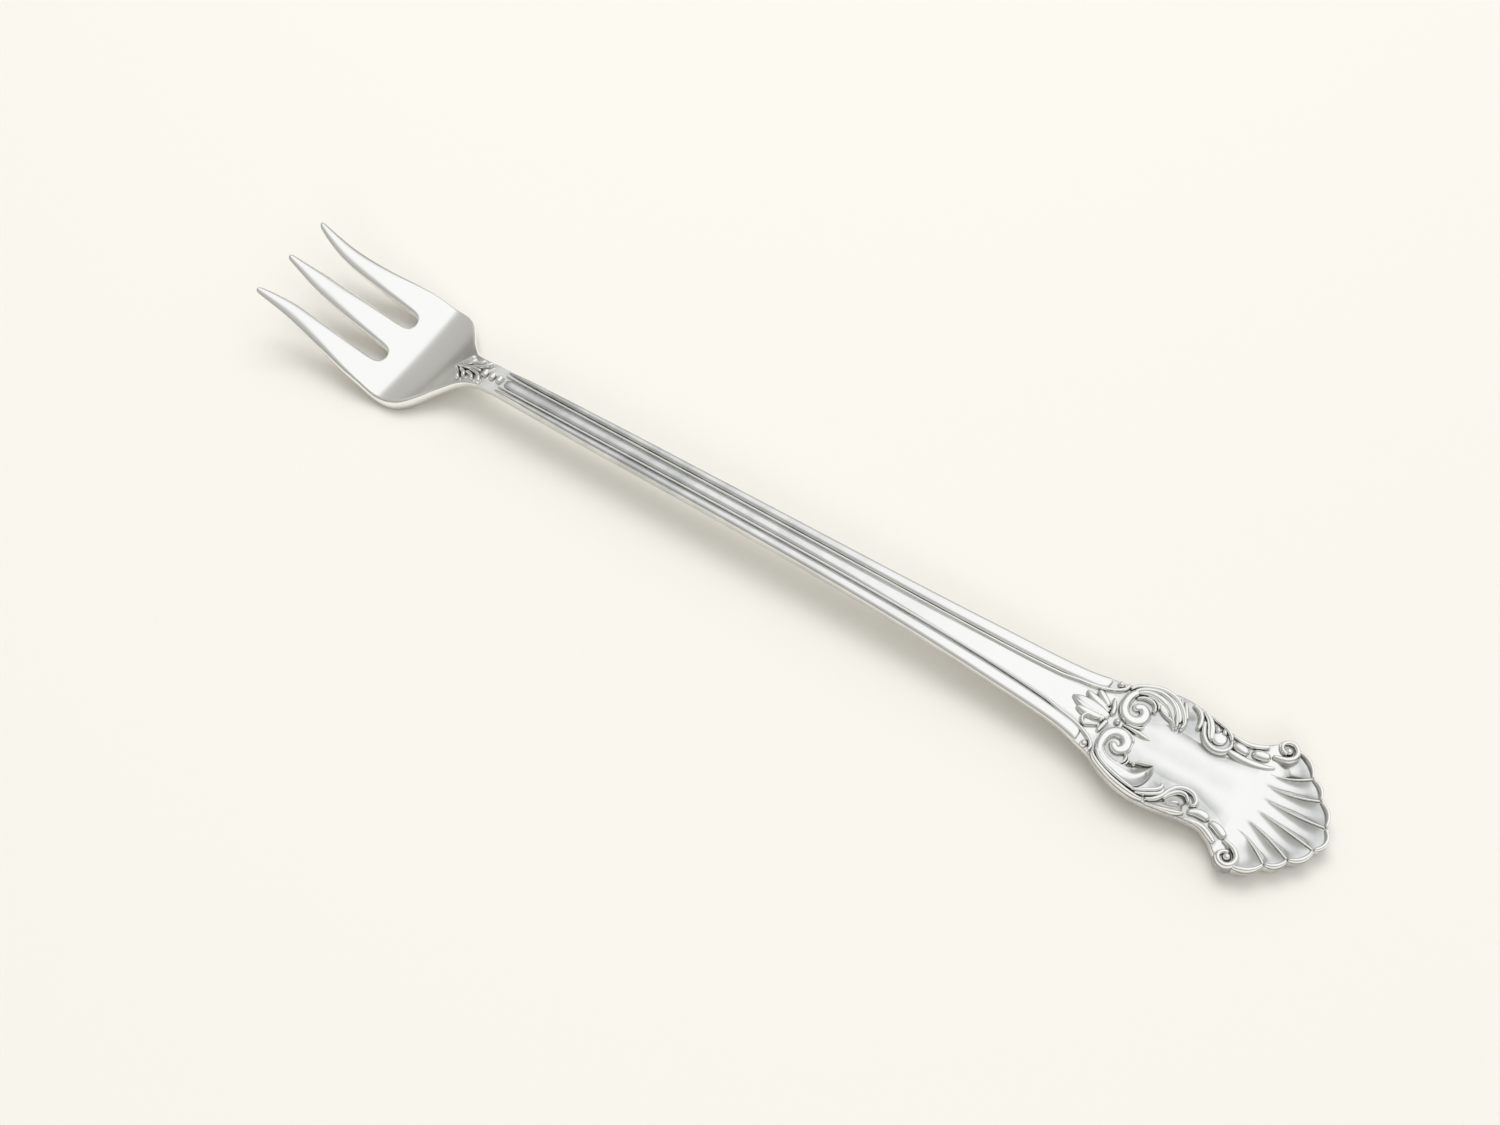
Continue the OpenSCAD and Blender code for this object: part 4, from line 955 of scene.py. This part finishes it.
def lipLine(index):
    line = []
    last = lip["points"] - 1
    for k in range(lip["points"]):
        p = scallopPoint(index, mixed(lip["start"], lip["end"], k / last))
        inward = (Vector((shellL, 0)) - p).normalized() * lip["inset"]
        swell = math.sin(math.pi * k / last)
        line.append((p.x + inward.x, p.y + inward.y, mixed(*lip["wide"], swell), mixed(*lip["high"], swell)))
    return line


flutes = range(len(valleys) - 1)
ridgeColumns = [body["shoulderColumns"] + body["fluteColumns"] * k for k in flutes[1:]]
strokePiece("shellRidges", "shell_ridges", [{"line": ridgeLine(k), "skirt": 0.0} for k in ridgeColumns])
strokePiece("shellLip", "shell_lip", [{"line": lipLine(k), "skirt": 0.0} for k in flutes])


# reeds, fillets and band that run along the stem

# strips darken at their low edges (tarnish with painted shade) and towards the head (a painted dim
# reflection)
strip = {"ends": (0.0, 0.02, 0.07, 0.15, 0.26, 0.4, 0.6), "ringGap": 0.4, "across": 16, "foot": 0.93,
         "sink": 0.12, "endRound": 0.5, "narrow": 0.3, "edgeShadeAndTarnish": 0.45, "cleanRise": 0.3, "cleanAfter": 0.5,
         "dimReflection": 0.5, "dimReflectionSpan": (40, 95)}


def stripPiece(name, replaced, form, side=1):
    bm = bmesh.new()
    tarnishShadeLayer = bm.verts.layers.float.new("tarnishAndShade")
    start, end, reach = form["start"], form["end"], strip["ends"][-1]
    count = round((start - end - 2 * reach) / strip["ringGap"])
    places = [start - r for r in strip["ends"]]
    places += [mixed(start - reach, end + reach, k / count) for k in range(1, count)]
    places += [end + r for r in reversed(strip["ends"])]
    m = strip["across"]

    def where(i, j, v):
        u = places[j]
        low, high = form["low"](u), form["high"](u)
        close = roundEnd((u - end) / strip["endRound"]) * roundEnd((start - u) / form["startRound"])
        centre, half = (low + high) / 2, (high - low) / 2 * mixed(strip["narrow"], 1, close)
        i %= m + 3
        if i > m:
            v[tarnishShadeLayer] = strip["edgeShadeAndTarnish"]
            foot = strip["foot"] if i == m + 1 else -strip["foot"]
            return onHandle(u, side * (centre + half * foot), -strip["sink"])
        a = -math.cos(math.pi * i / m)
        # the low edges and the foot are darker: tarnish with painted shade
        edgeShadeAndTarnish = 0.0
        if a < strip["cleanAfter"]:
            edgeShadeAndTarnish = clamp(1 - roundTop(a) / strip["cleanRise"]) * strip["edgeShadeAndTarnish"]
        # darker towards the head: a painted dim reflection
        v[tarnishShadeLayer] = max(strip["dimReflection"] * eased(*strip["dimReflectionSpan"], u), edgeShadeAndTarnish)
        return onHandle(u, side * (centre + half * a), form["rise"](u) * close * roundTop(a))

    movedGrid(bm, m + 3, len(places) - 1, where)
    bmesh.ops.remove_doubles(bm, verts=bm.verts, dist=weld)
    bmesh.ops.holes_fill(bm, edges=[e for e in bm.edges if e.is_boundary], sides=0)
    finishPiece(name, bm, replaced, "polished_silver")


fillet = {"wide": (0.42, 0.3), "high": (0.38, 0.3), "span": (34, 50), "gap": 0.1, "step": 1.2, "steps": 67}
filletHook = [(32.9, 2.3, 0.42, 0.38), (31.4, 2.55, 0.46, 0.4), (30.0, 2.92, 0.48, 0.44),
              (28.9, 3.4, 0.5, 0.48), (28.1, 3.95, 0.5, 0.52), (27.75, 4.6, 0.46, 0.52),
              (27.9, 5.15, 0.3, 0.44)]
stem = {"reedHigh": 0.45, "reedProud": 0.004, "bandHigh": 0.34, "filletW": 0.3, "gap": 0.14}
reedBead = {"ball": [(28.6, 4.5, 0.95, 0.66)]}


def bandHalf(u):
    return curveAt(filletY, u) - stem["filletW"] / 2 - stem["gap"]


def bandRise(u):
    return stem["bandHigh"] * eased(handleL - 1, handleL + stemL * 0.4, u)


def filletLine():
    line = []
    for k in range(fillet["steps"]):
        u = stemEnd - fillet["gap"] - k * fillet["step"]
        thin = eased(*fillet["span"], u)
        line.append((u, curveAt(filletY, u), mixed(*fillet["wide"], thin), mixed(*fillet["high"], thin)))
    return line + filletHook


reed = {"low": lambda u: curveAt(filletY, u) + stem["filletW"] / 2 + stem["gap"],
        "high": lambda u: handleHalf(u) + stem["reedProud"], "rise": lambda u: stem["reedHigh"],
        "start": stemEnd - 0.05, "end": 29.55, "startRound": 5.0}
band = {"low": lambda u: -bandHalf(u), "high": bandHalf, "rise": bandRise,
        "start": stemEnd - 0.5, "end": handleL - 0.5, "startRound": 0.7}
for sideName, side in sides:
    stripPiece(sideName + "Reed", [sideName + "_reed"], reed, side)
    carve(sideName + "Fillet", sideName + "_fillet", {"line": filletLine()}, side, skirt=0.05, soil=0.35)
    carve(sideName + "ReedBead", sideName + "_reed_bead", reedBead, side)
stripPiece("centreBand", ["centre_band"], band)


# leaf and beads on the neck

def onNeck(u, y, w):  # u is measured from the stem's end towards the head here
    d = headL - u
    x = tipX - d
    near = 0.1
    lean = (curveAt(headTop, d - near) - curveAt(headTop, d + near)) / (2 * near)
    n = math.hypot(1, lean)
    return Vector((x - w * lean / n, y, curveAt(headTop, d) + w / n)) * mm


neckKeel = {"keel": [(3.2, 0.0, 0.36, 0.4), (4.4, 0.0, 0.5, 0.52), (6.2, 0.0, 0.5, 0.48),
                     (7.6, 0.0, 0.14, 0.24)]}
neckLeaf = {
    "hook": [(7.45, 0.12, 0.3, 0.34), (6.9, 0.5, 0.42, 0.46), (6.3, 1.05, 0.44, 0.5),
             (5.85, 1.62, 0.46, 0.5), (5.78, 2.05, 0.62, 0.5)],
    "leaf": [(6.5, 0.25, 0.34, 0.36), (5.9, 0.62, 0.54, 0.5), (5.4, 0.95, 0.54, 0.5),
             (5.05, 1.55, 0.4, 0.42)],
    "lobe": [(5.1, 0.75, 0.34, 0.4), (4.55, 0.85, 0.44, 0.5), (3.95, 1.12, 0.46, 0.52),
             (3.55, 1.65, 0.42, 0.46)],
    "arc": [(4.9, 0.25, 0.36, 0.4), (4.2, 0.4, 0.46, 0.5), (3.4, 0.62, 0.52, 0.54), (2.75, 1.2, 0.56, 0.56),
            (2.45, 1.8, 0.56, 0.5)],
}
neckBeads = {"places": (2.5, 1.4, 0.3), "wide": 0.74, "across": (-0.65, 0.0, 0.65), "high": 0.52}
leafStrokes = strokesOf(neckKeel, place=onNeck, soil=0.6)
for sideName, side in sides:
    leafStrokes += strokesOf(neckLeaf, side, place=onNeck, soil=0.6)
strokePiece("neckLeaf", "neck_leaf", leafStrokes)
beadLines = {u: [(u, y, neckBeads["wide"], neckBeads["high"]) for y in neckBeads["across"]]
             for u in neckBeads["places"]}
carve("neckBeads", "neck_beads", beadLines, place=onNeck)


# floor, light and camera

stage = {"size": 4.0, "colour": (0.86, 0.835, 0.78), "rough": 0.75, "shine": 0.2}


def buildFloor():
    bm = bmesh.new()
    bmesh.ops.create_grid(bm, x_segments=2, y_segments=2, size=stage["size"] / 2)
    mat = bpy.data.materials.new("paleFloor")
    mat.use_nodes = True
    shader = mat.node_tree.nodes["Principled BSDF"]
    shader.inputs["Base Color"].default_value = (*stage["colour"], 1)
    shader.inputs["Roughness"].default_value = stage["rough"]
    shader.inputs["Specular IOR Level"].default_value = stage["shine"]
    floor = meshObject("floor", bm, mat)


sky = {"brightest": (-0.25, -0.4, 0.88), "horizon": (0.04, 0.4), "strength": (0.55, 1.0),
       "ramp": [(0.0, (0.36, 0.355, 0.33)), (0.5, (0.44, 0.435, 0.41)), (0.7, (0.51, 0.505, 0.48)),
                (0.79, (0.56, 0.56, 0.54)), (0.85, (0.74, 0.745, 0.735)), (0.9, (0.97, 0.98, 0.98)),
                (0.95, (1.03, 1.04, 1.04))]}


def buildSky():  # one broad soft light overhead, fading to a grey room
    world = bpy.data.worlds.new("studio")
    bpy.context.scene.world = world
    world.use_nodes = True
    tree = world.node_tree
    link, lit = tree.links.new, tree.nodes["Background"].inputs
    coords = addNode(tree, "ShaderNodeTexCoord").outputs["Generated"]
    toward = addNode(tree, "ShaderNodeVectorMath", {1: Vector(sky["brightest"]).normalized()})
    toward.operation = "DOT_PRODUCT"
    link(coords, toward.inputs[0])
    spread = addSpan(tree, toward.outputs["Value"], (-1.0, 1.0), (0.0, 1.0))
    ramp = addNode(tree, "ShaderNodeValToRGB")
    ramp.color_ramp.interpolation = "EASE"
    ramp.color_ramp.elements.remove(ramp.color_ramp.elements[1])
    for k, (place, colour) in enumerate(sky["ramp"]):
        step = ramp.color_ramp.elements[0] if k == 0 else ramp.color_ramp.elements.new(place)
        step.color = (*colour, 1)
    link(spread, ramp.inputs["Fac"])
    link(ramp.outputs["Color"], lit["Color"])
    height = addNode(tree, "ShaderNodeSeparateXYZ")
    link(coords, height.inputs["Vector"])
    link(addSpan(tree, height.outputs["Z"], sky["horizon"], sky["strength"], "SMOOTHSTEP"), lit["Strength"])


lamps = {
    "overhead": {"from": (0.15, -0.25, 0.62), "size": (0.5, 0.4), "power": 1.9},
    "leftPanel": {"from": (-0.35, 0.5, 0.42), "size": (0.35, 0.25), "power": 0.8},
}


def buildLamps():
    for name, lamp in lamps.items():
        light = bpy.data.lights.new(name, "AREA")
        light.shape = "RECTANGLE"
        light.size, light.size_y = lamp["size"]
        light.energy = lamp["power"]
        holder = linked(name, light)
        spot = Vector(lamp["from"])
        holder.matrix_world = Matrix.Translation(spot) @ spot.to_track_quat("Z", "Y").to_matrix().to_4x4()
        holder.visible_glossy = False


view = {"elevation": 57.686, "azimuth": 125.703, "roll": -2.577, "distance": 266.43,
        "target": (-0.044, 4.254, 3.0), "lens": 53.35, "sensor": 36.0}


def buildCamera():
    e, a, r = (math.radians(view[k]) for k in ("elevation", "azimuth", "roll"))
    back = Vector((math.cos(e) * math.cos(a), math.cos(e) * math.sin(a), math.sin(e)))
    level = Vector((0, 0, 1)).cross(back).normalized()
    upright = back.cross(level)
    right = level * math.cos(r) + upright * math.sin(r)
    up = upright * math.cos(r) - level * math.sin(r)
    turn = Matrix((right, up, back)).transposed().to_4x4()
    camera = bpy.data.cameras.new("camera")
    camera.lens = view["lens"]
    camera.sensor_width = view["sensor"]
    camera.sensor_fit = "HORIZONTAL"
    camera.clip_start = 0.01
    holder = linked("camera", camera)
    spot = (Vector(view["target"]) + back * view["distance"]) * mm
    holder.matrix_world = Matrix.Translation(spot) @ turn
    bpy.context.scene.camera = holder


buildFloor()
buildSky()
buildLamps()
buildCamera()
bpy.context.scene.view_settings.view_transform = "Standard"
print("stage, lamps and camera ready")
